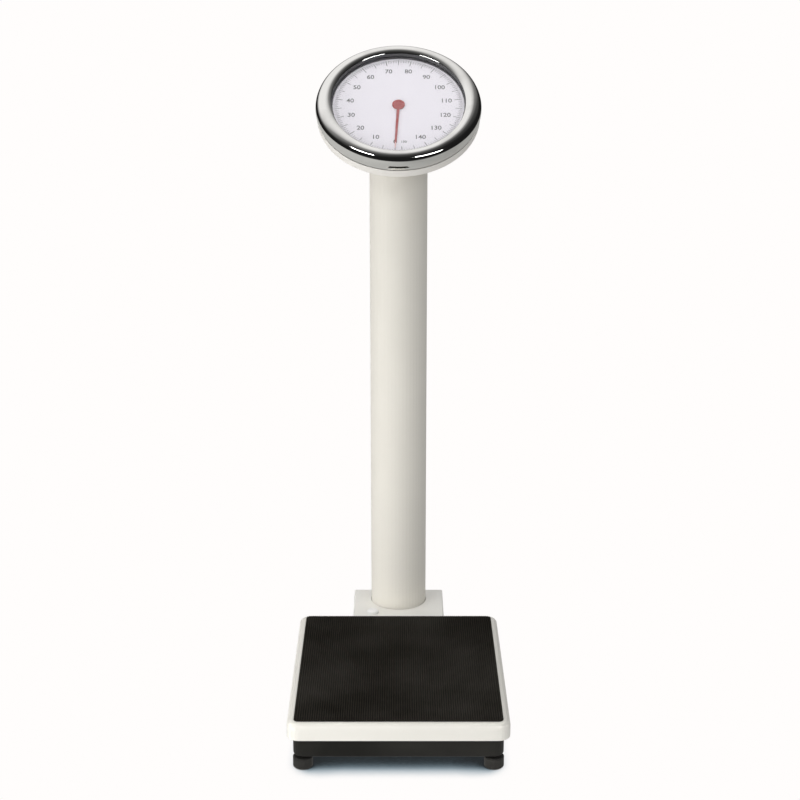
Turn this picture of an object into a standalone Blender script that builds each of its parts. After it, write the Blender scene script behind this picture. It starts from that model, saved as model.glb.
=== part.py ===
"""Mechanical column scale with a round dial, modelled as separate pieces.

Metres, +Z up. The user stands at -Y and reads the dial from there. Pieces are placed from the platform's
front edge (Y = 0) and the floor (Z = 0) under one empty, which moves them so that the origin is the middle
of the footprint. The head's pieces lie under a second empty, tilted with the dial: there X is across the
dial, Y is up the dial and Z is out of it, with the dial plate's top at Z = 0.
"""

import math

import bmesh
import bpy
from mathutils import Matrix, Vector

# Clearances and small common sizes
seat_gap = 0.0003
running_gap = 0.0002
loose_gap = 0.0006
cut_overrun = 0.0040
trim_margin = 0.00004
merge_distance = 0.000001
sheet = 0.0020

# Platform cover, mat and frame
cover_width = 0.3200
cover_length = 0.3670
cover_top = 0.0775
cover_skirt_bottom = 0.0528
cover_wall = 0.0018
cover_corner = 0.0180
cover_edge = 0.0080
mat_margin = 0.0102
mat_corner = 0.0070
mat_base = 0.0008
rib_height = 0.0006
rib_count = 90
rib_foot_share = 0.72
rib_crest_share = 0.36
frame_height = 0.0120
frame_rail = 0.0220
frame_inset = 0.0075
cross_member = 0.0300
window_corner = 0.0055
post_across = 0.0140
post_along = 0.0140

# Base tray, set back from the cover at the sides and at the front
base_side = 0.0086
base_front = 0.0080
base_bottom = 0.0222
base_rim = 0.0580
base_corner = 0.0150
base_edge = 0.0030

# Levelling feet
foot_radius = 0.01435
foot_height = 0.0170
foot_edge = 0.0015
foot_side_inset = 0.0136
foot_front_inset = 0.0165
foot_rear_inset = 0.0205
stud_radius = 0.0050
stud_top = 0.0345
stud_depth = 0.0080

# Bracket and carrier behind the platform
bracket_width = 0.1496
bracket_gap = 0.0050
bracket_length = 0.1210
bracket_top = 0.0650
bracket_edge = 0.0024
carrier_thickness = 0.0040
carrier_reach = 0.0670
carrier_hole = 0.0200
lever_slot = 0.0120
slot_top = 0.0600

# Column and its socket
column_inset = 0.0855
column_radius = 0.0455
column_wall = 0.0015
column_slit = 0.0008
socket_flange = 0.0040
socket_wall = 0.0070
socket_height = 0.0300
socket_step = 0.0010

# Head, in the dial's frame
head_tilt = math.radians(38.0)
head_forward = 0.0305
head_z = 0.8982
ring_inset = 0.0140
ring_level = -0.0021
ring_roll = 0.01575
ring_sheet = 0.0012
ring_foot_angle = math.radians(-48.0)
pan_radius = 0.1255
pan_rim = -0.0105
pan_shoulder = -0.0225
pan_edge = 0.0030
pan_wall = 0.0018
pan_floor = -0.0500
pan_floor_margin = 0.0165
rim_chamfer = 0.0015
rim_drop = 0.0023
ledge_margin = 0.0075
ledge_wall = 0.0020
seat_width = 0.0120
plate_inset = 0.0070
plate_bore_gap = 0.0004
plate_thickness = 0.0012
glass_inset = 0.0010
glass_thickness = 0.0020
glass_level = 0.0031
gasket_inset = 0.0005
gasket_width = 0.0045
mount_flange = 0.0040
mount_inset = 0.0010
mount_wall = 0.0040
mount_depth = 0.0300

# Levers: every knife edge of a lever lies on this level
knife_level = 0.0470
rod_travel = 0.0150
lever_ratio = 10.0
fulcrum_inset = 0.0450
arm_inset = 0.0200
arm_width = 0.0080
lever_tail = 0.0100
long_bend_run = 0.0160
long_meet_run = 0.0196
short_bend_run = 0.0120
short_meet_run = 0.0160
short_tip_run = 0.0056
beam_lap = 0.0160
arm_low = 0.0410
arm_high = 0.0530
beam_half = 0.0065
beam_nose_low = 0.0462
beam_rear_high = 0.0506
beam_high_share = 0.45
beam_taper_share = 0.20
beam_nose_past = 0.0070
knife_half = 0.0035
knife_depth = 0.0055
knife_past = 0.0120
knife_gap = 0.0006
knife_tip_gap = 0.0012
bearing_inset = 0.0394
bearing_width = 0.0160
bearing_length = 0.0180
vee_half = 0.0080
nose_edge = 0.0440
nose_knife_half = 0.0110
short_low = 0.0330
short_nose_half = 0.0155
crossbar_radius = 0.0030
crossbar_level = 0.0370
link_pin_level = 0.0490
link_sheet = 0.0025
link_width = 0.0140
link_gap = 0.0007
pin_play = 0.0005

# Draw rod, stirrup, springs and yoke
rod_radius = 0.0030
stirrup_half = 0.0165
stirrup_sheet = 0.0040
stirrup_depth = 0.0080
stirrup_rise = 0.0240
rod_head = 0.0050
yoke_level = 0.7000
yoke_thickness = 0.0050
yoke_half = 0.0300
yoke_depth = 0.0120
anchor_level = 0.7900
anchor_thickness = 0.0050
anchor_depth = 0.0160
spring_side = 0.0220
spring_coil = 0.0068
spring_wire = 0.0024
spring_turns = 12
points_a_turn = 8
spring_tail = 0.0070

# Bell crank
crank_input = 0.0200
crank_swing = 0.7500
crank_plane = -0.0140
crank_thickness = 0.0040
crank_half = 0.0040
crank_hub = 0.0064
crank_pin_radius = 0.0025
input_pin_radius = 0.0020
output_pin_radius = 0.0015
pivot_level = -0.0503
cheek_thickness = 0.0025
cheek_gap = 0.0040
cheek_half = 0.0070
cheek_shoulder = 0.0049
strap_thickness = 0.0030
strap_top_run = 0.0560
strap_foot_run = 0.0460
cheek_run = 0.0385
eye_half = 0.0060
eye_width = 0.0060

# Rack and pinion
tooth_module = 0.0005
pinion_teeth = 20
pressure_angle = math.radians(20.0)
tooth_thickness_share = 0.42
addendum_share = 0.80
dedendum_share = 1.15
gear_level = -0.0125
gear_width = 0.0050
rack_inset = 0.0005
rack_back = 0.0060
rack_tail = 0.0055
rack_ahead = 0.0060
shaft_radius = 0.0015
shaft_top = 0.0010
bridge_level = -0.0180
bridge_thickness = 0.0020
bridge_half = 0.0440
bridge_low_run = -0.0060
bridge_high_run = 0.0200
bridge_foot = 0.0120
guide_width = 0.0080
guide_low_run = -0.0020
guide_high_run = 0.0140

# Pointer
hub_radius = 0.0099
hub_thickness = 0.0016
hub_level = 0.0009
hand_margin = 0.0103
hand_root = 0.0023
hand_neck = 0.0015
hand_tip = 0.0005
hand_neck_share = 0.88
hand_thickness = 0.0006
dial_span = math.radians(353.6)

# Zero knob
knob_x = -0.0425
knob_inset = 0.0280
knob_radius = 0.0094
knob_height = 0.0055
knob_dome = 0.0020
knob_shoulder_share = 0.86
knob_top_share = 0.45
knob_drop_share = 0.35
spindle_radius = 0.0030
spindle_bore = 0.0030
nut_side = 0.0100
nut_level = 0.0560
nut_thickness = 0.0040
nut_arm_end = -0.0150
nut_arm_step = 0.0010
ear_low = 0.0465
ear_thickness = 0.0020
ear_half = 0.0040
trim_coil = 0.0022
trim_wire = 0.0008
trim_turns = 4

# Facets and shading
smooth_angle = math.radians(35.0)
quarter_turn = math.radians(90.0)
fine_steps = 64
round_steps = 48
small_steps = 24
tiny_steps = 16
roll_facets = 18
corner_facets = 6
edge_facets = 4
shoulder_facets = 3
end_facets = 6

# Worked out from the sizes above
mat_width = cover_width - 2 * mat_margin
mat_length = cover_length - 2 * mat_margin
base_width = cover_width - 2 * base_side
base_length = cover_length - 2 * base_front
base_back = base_front + base_length
foot_side = base_width / 2 - foot_side_inset
foot_front = base_front + foot_front_inset
foot_rear = base_back - foot_rear_inset
bracket_front = cover_length + bracket_gap
bracket_back = bracket_front + bracket_length
carrier_front = cover_length - carrier_reach
column_y = bracket_front + column_inset
knob_y = bracket_front + knob_inset
head_y = column_y - head_forward
ring_centre = pan_radius - ring_inset
ledge_radius = ring_centre + ledge_margin
seat_inner = ledge_radius - seat_width
plate_radius = ledge_radius - plate_inset
glass_radius = seat_inner - glass_inset
gasket_outer = glass_radius - gasket_inset
gasket_inner = gasket_outer - gasket_width
hand_length = gasket_inner - hand_margin
pan_floor_radius = column_radius + pan_floor_margin
mount_radius = pan_floor_radius - mount_inset
front_fulcrum_y = fulcrum_inset
rear_fulcrum_y = cover_length - fulcrum_inset
bearing_side = base_width / 2 - bearing_inset
arm_side = bearing_side - arm_inset
knife_reach = bearing_side + knife_past
nose_y = column_y
load_arm = (nose_y - front_fulcrum_y) / lever_ratio
full_sink = rod_travel / lever_ratio
lever_angle = full_sink / load_arm
link_y = (front_fulcrum_y + rear_fulcrum_y) / 2
front_load_y = front_fulcrum_y + load_arm
rear_load_y = rear_fulcrum_y - load_arm
pitch_radius = tooth_module * pinion_teeth / 2
rack_travel = pitch_radius * dial_span
base_floor = base_bottom + sheet
carrier_low = base_floor + seat_gap
carrier_high = carrier_low + carrier_thickness
cover_inner_top = cover_top - cover_wall
frame_high = cover_inner_top - seat_gap
frame_low = frame_high - frame_height
overall_depth = (
    head_y
    + (pan_radius - pan_edge) * math.cos(head_tilt)
    - pan_shoulder * math.sin(head_tilt)
    + pan_edge
)


def dial_point(run, level):
    """World height and depth (before centring) of a point of the dial's frame on its middle plane."""
    y = head_y + run * math.cos(head_tilt) - level * math.sin(head_tilt)
    z = head_z + run * math.sin(head_tilt) + level * math.cos(head_tilt)
    return y, z


pivot_y = column_y - crank_input
pivot_run = (pivot_y - head_y + pivot_level * math.sin(head_tilt)) / math.cos(head_tilt)
pivot_z = dial_point(pivot_run, pivot_level)[1]
output_height = rack_travel / 2 / math.tan(crank_swing / 2)
rack_pin_level = pivot_level + output_height
rack_pin_run = pivot_run - rack_travel / 2
eye_level = pivot_z + crank_input * crank_swing / 2


# The scene, its collections and its frames

for old in list(bpy.data.objects):
    bpy.data.objects.remove(old, do_unlink=True)

parts = bpy.data.collections.new("column_scale")
cutters = bpy.data.collections.new("cutters")
cutters.hide_render = True
for group in (parts, cutters):
    bpy.context.scene.collection.children.link(group)


def empty(name, parent, at, tilt):
    frame = bpy.data.objects.new(name, None)
    parts.objects.link(frame)
    frame.parent = parent
    frame.location = at
    frame.rotation_euler = (tilt, 0, 0)
    return frame


floor_frame = empty("floor_frame", None, (0, -overall_depth / 2, 0), 0)
dial_frame = empty("dial_frame", floor_frame, (0, head_y, head_z), head_tilt)
bpy.context.view_layer.update()


def paint(name, colour, roughness, metallic=0.0):
    material = bpy.data.materials.new(name)
    material.use_nodes = True
    shader = material.node_tree.nodes["Principled BSDF"]
    shader.inputs["Base Color"].default_value = (*colour, 1.0)
    shader.inputs["Roughness"].default_value = roughness
    shader.inputs["Metallic"].default_value = metallic
    material.diffuse_color = (*colour, 1.0)
    return material


white_paint = paint("white_paint", (0.72, 0.71, 0.66), 0.35)
column_paint = paint("column_paint", (0.66, 0.65, 0.60), 0.40)
black_paint = paint("black_paint", (0.022, 0.021, 0.018), 0.45)
mat_rubber = paint("mat_rubber", (0.022, 0.021, 0.016), 0.75)
foot_rubber = paint("foot_rubber", (0.020, 0.020, 0.018), 0.70)
ring_chrome = paint("ring_chrome", (0.80, 0.80, 0.80), 0.06, 1.0)
dial_white = paint("dial_white", (0.83, 0.82, 0.86), 0.50)
pointer_red = paint("pointer_red", (0.60, 0.06, 0.05), 0.40)
clear_glass = paint("clear_glass", (0.90, 0.92, 0.92), 0.02)
plain_steel = paint("plain_steel", (0.45, 0.45, 0.46), 0.35, 1.0)
hard_steel = paint("hard_steel", (0.30, 0.30, 0.32), 0.25, 1.0)
cast_iron = paint("cast_iron", (0.12, 0.12, 0.13), 0.60, 0.6)
brass = paint("brass", (0.62, 0.45, 0.18), 0.30, 1.0)
gasket_grey = paint("gasket_grey", (0.55, 0.55, 0.56), 0.60)
knob_plastic = paint("knob_plastic", (0.74, 0.73, 0.68), 0.40)


# Modelling helpers


def tidy(mesh):
    """Merges doubles, turns the faces outwards and shades round faces smooth."""
    form = bmesh.new()
    form.from_mesh(mesh)
    bmesh.ops.remove_doubles(form, verts=form.verts, dist=merge_distance)
    bmesh.ops.recalc_face_normals(form, faces=form.faces)
    form.to_mesh(mesh)
    form.free()
    mesh.shade_smooth()
    mesh.set_sharp_from_angle(angle=smooth_angle)


def add(name, mesh, material, frame=None, at=(0, 0, 0), turn=(0, 0, 0)):
    """Puts a mesh in the scene as a named piece of the given frame."""
    piece = bpy.data.objects.new(name, mesh)
    mesh.name = name
    mesh.materials.clear()
    mesh.materials.append(material)
    parts.objects.link(piece)
    piece.parent = frame or floor_frame
    piece.location = at
    piece.rotation_euler = turn
    return piece


def evaluated_mesh(piece):
    """The mesh that a curve or a modified object evaluates to."""
    bpy.context.view_layer.update()
    graph = bpy.context.evaluated_depsgraph_get()
    return bpy.data.meshes.new_from_object(piece.evaluated_get(graph))


def lies_level(element, level):
    """True for an edge or face whose corners all have the given height."""
    return all(abs(v.co.z - level) < merge_distance for v in element.verts)


def round_edges(form, edges, radius, facets):
    """Bevels edges to a round of the given radius."""
    bmesh.ops.bevel(
        form, geom=edges, offset=radius, segments=facets, profile=0.5, affect="EDGES", clamp_overlap=True
    )


def block_mesh(x, y, z, corner=0.0, edge=0.0, open_below=False, open_above=False):
    """A box between pairs of limits, with rounded upright corners and rounded top or bottom edges."""
    form = bmesh.new()
    bmesh.ops.create_cube(form, size=1.0)
    size = Vector((x[1] - x[0], y[1] - y[0], z[1] - z[0]))
    middle = Vector((x[1] + x[0], y[1] + y[0], z[1] + z[0])) / 2
    bmesh.ops.scale(form, vec=size, verts=form.verts)
    bmesh.ops.translate(form, vec=middle, verts=form.verts)
    if corner:
        upright = [e for e in form.edges if abs((e.verts[0].co - e.verts[1].co).z) > size.z / 2]
        round_edges(form, upright, corner, corner_facets)
    if edge:
        closed_level = z[0] if open_above else z[1]
        rim = [e for e in form.edges if lies_level(e, closed_level)]
        round_edges(form, rim, edge, edge_facets)
    for missing, level in ((open_below, z[0]), (open_above, z[1])):
        if missing:
            caps = [f for f in form.faces if lies_level(f, level)]
            bmesh.ops.delete(form, geom=caps, context="FACES_ONLY")
    mesh = bpy.data.meshes.new("block")
    form.to_mesh(mesh)
    form.free()
    return mesh


def block(name, material, x, y, z, corner=0.0, edge=0.0, frame=None):
    mesh = block_mesh(x, y, z, corner, edge)
    tidy(mesh)
    return add(name, mesh, material, frame)


def tray(name, material, x, y, z, corner, edge, wall, upside_down):
    """An open box of sheet: open above as a tray, or open below as a cover."""
    mesh = block_mesh(x, y, z, corner, edge, open_below=upside_down, open_above=not upside_down)
    tidy(mesh)
    piece = add(name, mesh, material)
    shell = piece.modifiers.new("wall", "SOLIDIFY")
    shell.thickness = wall
    shell.offset = -1
    shell.use_even_offset = True
    return piece


def turned(name, material, profile, steps=round_steps, frame=None, at=(0, 0, 0), turn=(0, 0, 0)):
    """A closed profile of (radius, height) points turned about Z. Points on the axis close it there."""
    mesh = bpy.data.meshes.new(name)
    points = [(radius, 0, height) for radius, height in profile]
    edges = [(i, i + 1) for i in range(len(points) - 1)]
    if profile[0][0] > 0:
        edges.append((len(points) - 1, 0))
    mesh.from_pydata(points, edges, [])
    blank = bpy.data.objects.new("blank", mesh)
    cutters.objects.link(blank)
    spin = blank.modifiers.new("spin", "SCREW")
    spin.axis = "Z"
    spin.angle = 2 * math.pi
    spin.steps = steps
    spin.render_steps = steps
    spin.use_merge_vertices = True
    spin.merge_threshold = merge_distance
    spun = evaluated_mesh(blank)
    bpy.data.objects.remove(blank)
    tidy(spun)
    return add(name, spun, material, frame, at, turn)


def rod(name, material, radius, low, high, steps=small_steps, frame=None, at=(0, 0, 0), turn=(0, 0, 0)):
    """A round bar along Z between two heights."""
    profile = [(0, low), (radius, low), (radius, high), (0, high)]
    return turned(name, material, profile, steps, frame, at, turn)


def outline(name, material, points, low, high, frame=None, at=(0, 0, 0), turn=(0, 0, 0)):
    """A flat outline in X and Y, given thickness from low to high along Z."""
    curve = bpy.data.curves.new(name, "CURVE")
    curve.dimensions = "2D"
    curve.fill_mode = "BOTH"
    curve.extrude = (high - low) / 2
    line = curve.splines.new("POLY")
    line.points.add(len(points) - 1)
    for point, (x, y) in zip(line.points, points):
        point.co = (x, y, 0, 1)
    line.use_cyclic_u = True
    blank = bpy.data.objects.new("blank", curve)
    cutters.objects.link(blank)
    mesh = evaluated_mesh(blank)
    bpy.data.objects.remove(blank)
    mesh.transform(Matrix.Translation((0, 0, (low + high) / 2)))
    tidy(mesh)
    return add(name, mesh, material, frame, at, turn)


side_on = (quarter_turn, 0, quarter_turn)
front_on = (quarter_turn, 0, 0)
crosswise = (0, quarter_turn, 0)


def wire(name, material, points, radius, frame=None):
    """A round wire along points, as a bevelled curve with closed ends."""
    curve = bpy.data.curves.new(name, "CURVE")
    curve.dimensions = "3D"
    curve.bevel_depth = radius
    curve.bevel_resolution = 1
    curve.use_fill_caps = True
    line = curve.splines.new("POLY")
    line.points.add(len(points) - 1)
    for point, co in zip(line.points, points):
        point.co = (*co, 1)
    curve.materials.append(material)
    piece = bpy.data.objects.new(name, curve)
    parts.objects.link(piece)
    piece.parent = frame or floor_frame
    return piece


def combine(piece, other, how):
    """Cuts or joins a helper, which leaves the parts and stays as a wire outline."""
    if other.name in parts.objects:
        parts.objects.unlink(other)
        cutters.objects.link(other)
    other.hide_render = True
    other.display_type = "WIRE"
    step = piece.modifiers.new(how.lower(), "BOOLEAN")
    step.operation = how
    step.object = other
    step.solver = "EXACT"
    return piece


def cut(piece, *others):
    for other in others:
        combine(piece, other, "DIFFERENCE")
    return piece


def join(piece, *others):
    for other in others:
        combine(piece, other, "UNION")
    return piece


def span(middle, half):
    return (middle - half, middle + half)


def arc(centre_x, centre_y, radius, first, last, count):
    """Points along an arc, first and last included, angles in radians."""
    turns = [first + (last - first) * i / count for i in range(count + 1)]
    return [(centre_x + radius * math.cos(a), centre_y + radius * math.sin(a)) for a in turns]


# Platform


def build_cover():
    limits = span(0, cover_width / 2), (0, cover_length), (cover_skirt_bottom, cover_top)
    tray("platform_cover", white_paint, *limits, cover_corner, cover_edge, cover_wall, True)


def rib_section():
    """Outline of the mat in X and Z: a thin sheet with a row of ribs on top."""
    pitch = mat_width / rib_count
    low = cover_top + seat_gap
    points = [(mat_width / 2, low), (-mat_width / 2, low)]
    for index in range(rib_count):
        middle = -mat_width / 2 + pitch * (index + 0.5)
        foot = pitch * rib_foot_share / 2
        crest = pitch * rib_crest_share / 2
        root = low + mat_base
        points.append((middle - foot, root))
        points.append((middle - crest, root + rib_height))
        points.append((middle + crest, root + rib_height))
        points.append((middle + foot, root))
    points.insert(2, (-mat_width / 2, low + mat_base))
    points.append((mat_width / 2, low + mat_base))
    return points


def build_mat():
    far = mat_margin + mat_length
    mat = outline("rubber_mat", mat_rubber, rib_section(), -far, -mat_margin, turn=front_on)
    corners = block(
        "mat_corners",
        mat_rubber,
        span(0, mat_width / 2 + trim_margin),
        (mat_margin - trim_margin, far + trim_margin),
        (cover_top - cut_overrun, cover_top + cut_overrun),
        mat_corner,
    )
    combine(mat, corners, "INTERSECT")


def build_frame():
    """Rails and cross members under the cover, with four posts that stand on the load knives."""
    inner = cover_width / 2 - cover_wall - frame_inset
    front = cover_wall + frame_inset
    back = cover_length - front
    levels = (frame_low, frame_high)
    frame = block("platform_frame", plain_steel, span(0, inner), (front, back), levels, cover_edge)
    windows = (
        (front + frame_rail, front_load_y - cross_member / 2),
        (front_load_y + cross_member / 2, rear_load_y - cross_member / 2),
        (rear_load_y + cross_member / 2, back - frame_rail),
    )
    through = (frame_low - cut_overrun, frame_high + cut_overrun)
    across = span(0, inner - frame_rail)
    for limits in windows:
        cut(frame, block("frame_window", plain_steel, across, limits, through, window_corner))
    low = knife_level - knife_half
    for y in (front_load_y, rear_load_y):
        for side in (-1, 1):
            post = block(
                "post",
                plain_steel,
                span(side * bearing_side, post_across / 2),
                span(y, post_along / 2),
                (low, frame_low + frame_height / 2),
            )
            join(frame, post)
            below = low - post_along / 2
            points = [(0, knife_level + seat_gap), (post_along, below), (-post_along, below)]
            at = (side * bearing_side, y, 0)
            wedge = outline("post_vee", plain_steel, points, -post_across, post_across, at=at, turn=side_on)
            cut(frame, wedge)


# Base


def build_base():
    base = tray(
        "base_pan",
        black_paint,
        span(0, base_width / 2),
        (base_front, base_back),
        (base_bottom, base_rim),
        base_corner,
        base_edge,
        sheet,
        False,
    )
    for x, y in foot_places():
        cut(base, rod("stud_hole", black_paint, stud_radius + seat_gap, 0, base_rim, at=(x, y, 0)))
    notch = block(
        "rear_notch",
        black_paint,
        span(0, bracket_width / 2 - sheet),
        (base_back - base_edge - sheet, base_back + cut_overrun),
        (base_floor + seat_gap / 2, base_rim + cut_overrun),
    )
    cut(base, notch)


def foot_places():
    return [(side * foot_side, y) for y in (foot_front, foot_rear) for side in (-1, 1)]


def build_feet():
    names = ("front_left", "front_right", "rear_left", "rear_right")
    bore = stud_depth + seat_gap
    stud_low = foot_height - stud_depth
    for name, (x, y) in zip(names, foot_places()):
        profile = [
            (0, 0),
            (foot_radius - foot_edge, 0),
            (foot_radius, foot_edge),
            (foot_radius, foot_height - foot_edge),
            (foot_radius - foot_edge, foot_height),
            (stud_radius + seat_gap, foot_height),
            (stud_radius + seat_gap, foot_height - bore),
            (0, foot_height - bore),
        ]
        at = (x, y, 0)
        turned("foot_pad_" + name, foot_rubber, profile, small_steps, at=at)
        rod("foot_stud_" + name, plain_steel, stud_radius, stud_low, stud_top, tiny_steps, at=at)


def build_bearings():
    rows = (("front", front_fulcrum_y), ("rear", rear_fulcrum_y))
    for row, y in rows:
        for name, side in (("left", -1), ("right", 1)):
            bearing = block(
                f"bearing_{row}_{name}",
                hard_steel,
                span(side * bearing_side, bearing_width / 2),
                span(y, bearing_length / 2),
                (base_floor + seat_gap, knife_level + knife_half / 2),
            )
            tip = knife_level - seat_gap
            points = [(0, tip), (vee_half, tip + knife_depth), (-vee_half, tip + knife_depth)]
            at = (side * bearing_side, y, 0)
            wedge = outline("vee", hard_steel, points, -bearing_width, bearing_width, at=at, turn=side_on)
            cut(bearing, wedge)


def build_carrier():
    """The plate that ties the column's socket to the base tray."""
    carrier = block(
        "column_carrier",
        black_paint,
        span(0, bracket_width / 2 - sheet - seat_gap - seat_gap),
        (carrier_front, bracket_back - sheet - seat_gap),
        (carrier_low, carrier_high),
    )
    cut(carrier, rod("carrier_hole", black_paint, carrier_hole, 0, cover_top, at=(0, column_y, 0)))


def build_bracket():
    bracket = tray(
        "column_bracket",
        white_paint,
        span(0, bracket_width / 2),
        (bracket_front, bracket_back),
        (base_bottom, bracket_top),
        bracket_edge,
        bracket_edge,
        sheet,
        True,
    )
    at = (0, column_y, 0)
    opening = column_radius + column_slit
    passage = rod("column_passage", white_paint, opening, 0, cover_top, round_steps, at=at)
    slot = block(
        "bracket_slot",
        white_paint,
        span(0, lever_slot),
        (bracket_front - cut_overrun, bracket_front + cut_overrun),
        (0, slot_top),
    )
    gap = block(
        "carrier_gap",
        white_paint,
        span(0, bracket_width / 2 - sheet - seat_gap),
        (bracket_front - cut_overrun, bracket_front + cut_overrun),
        (0, carrier_high + seat_gap),
    )
    at = (knob_x, knob_y, 0)
    hole = rod("knob_hole", white_paint, spindle_radius + loose_gap, slot_top, cover_top, at=at)
    cut(bracket, passage, slot, gap, hole)


def build_socket():
    """The ring that the column is slipped over, with a flange for its lower edge and a slot for the lever."""
    outer = column_radius - column_wall - seat_gap
    inner = outer - socket_wall
    low = carrier_high + seat_gap
    profile = [
        (inner, low),
        (column_radius, low),
        (column_radius, low + socket_flange),
        (outer, low + socket_flange),
        (outer, low + socket_height),
        (inner, low + socket_height),
    ]
    socket = turned("column_socket", cast_iron, profile, at=(0, column_y, 0))
    slot = block(
        "socket_slot",
        cast_iron,
        span(0, lever_slot),
        (column_y - column_radius - cut_overrun, column_y),
        (low + socket_step, slot_top + cut_overrun),
    )
    cut(socket, slot)


def build_column():
    low = carrier_high + seat_gap + socket_flange + seat_gap
    inner = column_radius - column_wall
    profile = [(inner, low), (column_radius, low), (column_radius, head_z), (inner, head_z)]
    column = turned("column_tube", column_paint, profile, at=(0, column_y, 0))
    lid = block(
        "column_mitre",
        column_paint,
        span(0, pan_radius),
        span(0, overall_depth),
        (pan_floor - pan_wall - seat_gap, pan_radius),
        frame=dial_frame,
    )
    slot = block(
        "column_slot",
        column_paint,
        span(0, lever_slot),
        (column_y - column_radius - cut_overrun, column_y),
        (0, slot_top),
    )
    cut(column, lid, slot)


# Head


def build_ring():
    """The pressed ring: one large roll, open below, from its foot in the housing's groove to the glass."""
    inside = ring_roll - ring_sheet
    glass_top = glass_level + glass_thickness
    lip_angle = math.pi - math.asin((glass_top + seat_gap - ring_level) / inside)
    outer = arc(ring_centre, ring_level, ring_roll, ring_foot_angle, lip_angle, roll_facets)
    inner = arc(ring_centre, ring_level, inside, lip_angle, ring_foot_angle, roll_facets // 2)
    turned("bezel_ring", ring_chrome, outer + inner, fine_steps, dial_frame)


def build_housing():
    slope = math.atan2(pan_shoulder - pan_edge - pan_floor, pan_radius - pan_edge - pan_floor_radius)
    shoulder = arc(pan_radius - pan_edge, pan_shoulder, pan_edge, 0, -math.pi / 2, shoulder_facets)
    seat = -plate_thickness - seat_gap
    inner_radius = pan_radius - pan_wall
    groove = ring_level + ring_roll * math.sin(ring_foot_angle) - seat_gap
    profile = [
        (seat_inner, seat),
        (ledge_radius, seat),
        (ledge_radius, groove),
        (pan_radius - rim_chamfer, groove),
        (pan_radius - rim_chamfer, pan_rim - rim_drop),
        (pan_radius, pan_rim),
        *shoulder,
        (pan_floor_radius, pan_floor - pan_wall),
        (mount_wall, pan_floor - pan_wall),
        (mount_wall, pan_floor),
        (pan_floor_radius, pan_floor),
        (inner_radius - pan_edge, pan_shoulder - pan_wall * math.cos(slope)),
        (inner_radius, pan_shoulder),
        (inner_radius, groove - pan_wall),
        (ledge_radius - ledge_wall, groove - pan_wall),
        (ledge_radius - ledge_wall, seat - ledge_wall),
        (seat_inner, seat - ledge_wall),
    ]
    housing = turned("head_housing", white_paint, profile, fine_steps, dial_frame)
    opening = rod(
        "housing_opening",
        white_paint,
        column_radius - column_wall - seat_gap + running_gap,
        yoke_level,
        head_z + pan_radius,
        round_steps,
        at=(0, column_y, 0),
    )
    cut(housing, opening)


def build_mount():
    """The flange that holds the housing on the column, with a short sleeve that enters the tube."""
    outer = column_radius - column_wall - seat_gap
    low = pan_floor + seat_gap
    flange = rod("head_mount", cast_iron, mount_radius, low, low + mount_flange, round_steps, dial_frame)
    front_z = dial_point(0, low)[1] - (column_radius + head_y - column_y) * math.tan(head_tilt)
    at = (0, column_y, 0)
    sleeve = rod("mount_sleeve", cast_iron, outer, front_z - mount_depth, head_z, round_steps, at=at)
    top = block(
        "sleeve_top",
        cast_iron,
        span(0, pan_radius),
        span(0, overall_depth),
        (low + mount_flange / 2, pan_radius),
        frame=dial_frame,
    )
    cut(sleeve, top)
    join(flange, sleeve)
    above = head_z + pan_radius
    cut(flange, rod("mount_bore", cast_iron, outer - mount_wall, yoke_level, above, round_steps, at=at))


def build_dial():
    bore = shaft_radius + plate_bore_gap
    plate = [(bore, -plate_thickness), (plate_radius, -plate_thickness), (plate_radius, 0), (bore, 0)]
    turned("dial_plate", dial_white, plate, round_steps, dial_frame)
    gasket_high = glass_level - seat_gap
    gasket = [
        (gasket_inner, seat_gap),
        (gasket_outer, seat_gap),
        (gasket_outer, gasket_high),
        (gasket_inner, gasket_high),
    ]
    turned("glass_gasket", gasket_grey, gasket, round_steps, dial_frame)
    glass_top = glass_level + glass_thickness
    rod("dial_glass", clear_glass, glass_radius, glass_level, glass_top, round_steps, dial_frame)


# Levers


def knife(name, y, x, edge_up, level=knife_level):
    """A hardened bar of three sides with its edge on the given level, along X between two limits."""
    sign = 1 if edge_up else -1
    back = level - sign * knife_depth
    points = [(0, level), (-knife_half, back), (knife_half, back)]
    return outline(name, hard_steel, points, x[0], x[1], at=(0, y, 0), turn=side_on)


def knife_socket(y, x, edge_up, level=knife_level):
    """The matching hole, a little wider all round."""
    sign = 1 if edge_up else -1
    half = knife_half + knife_gap
    back = level - sign * (knife_depth + seat_gap)
    points = [(0, level + sign * knife_tip_gap), (-half, back), (half, back)]
    return outline("knife_socket", hard_steel, points, x[0], x[1], at=(0, y, 0), turn=side_on)


def lever_arm_outline(side, tail_y, bend_y, join_y, join_x):
    """Plan of one lever arm: straight beside the tray's wall, then leaning in to the middle."""
    half = arm_width / 2
    outer = arm_side + half
    inner = arm_side - half
    points = [(outer, tail_y), (outer, bend_y), (join_x + half, join_y)]
    points += [(join_x - half, join_y), (inner, bend_y), (inner, tail_y)]
    return [(side * x, y) for x, y in points]


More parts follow.
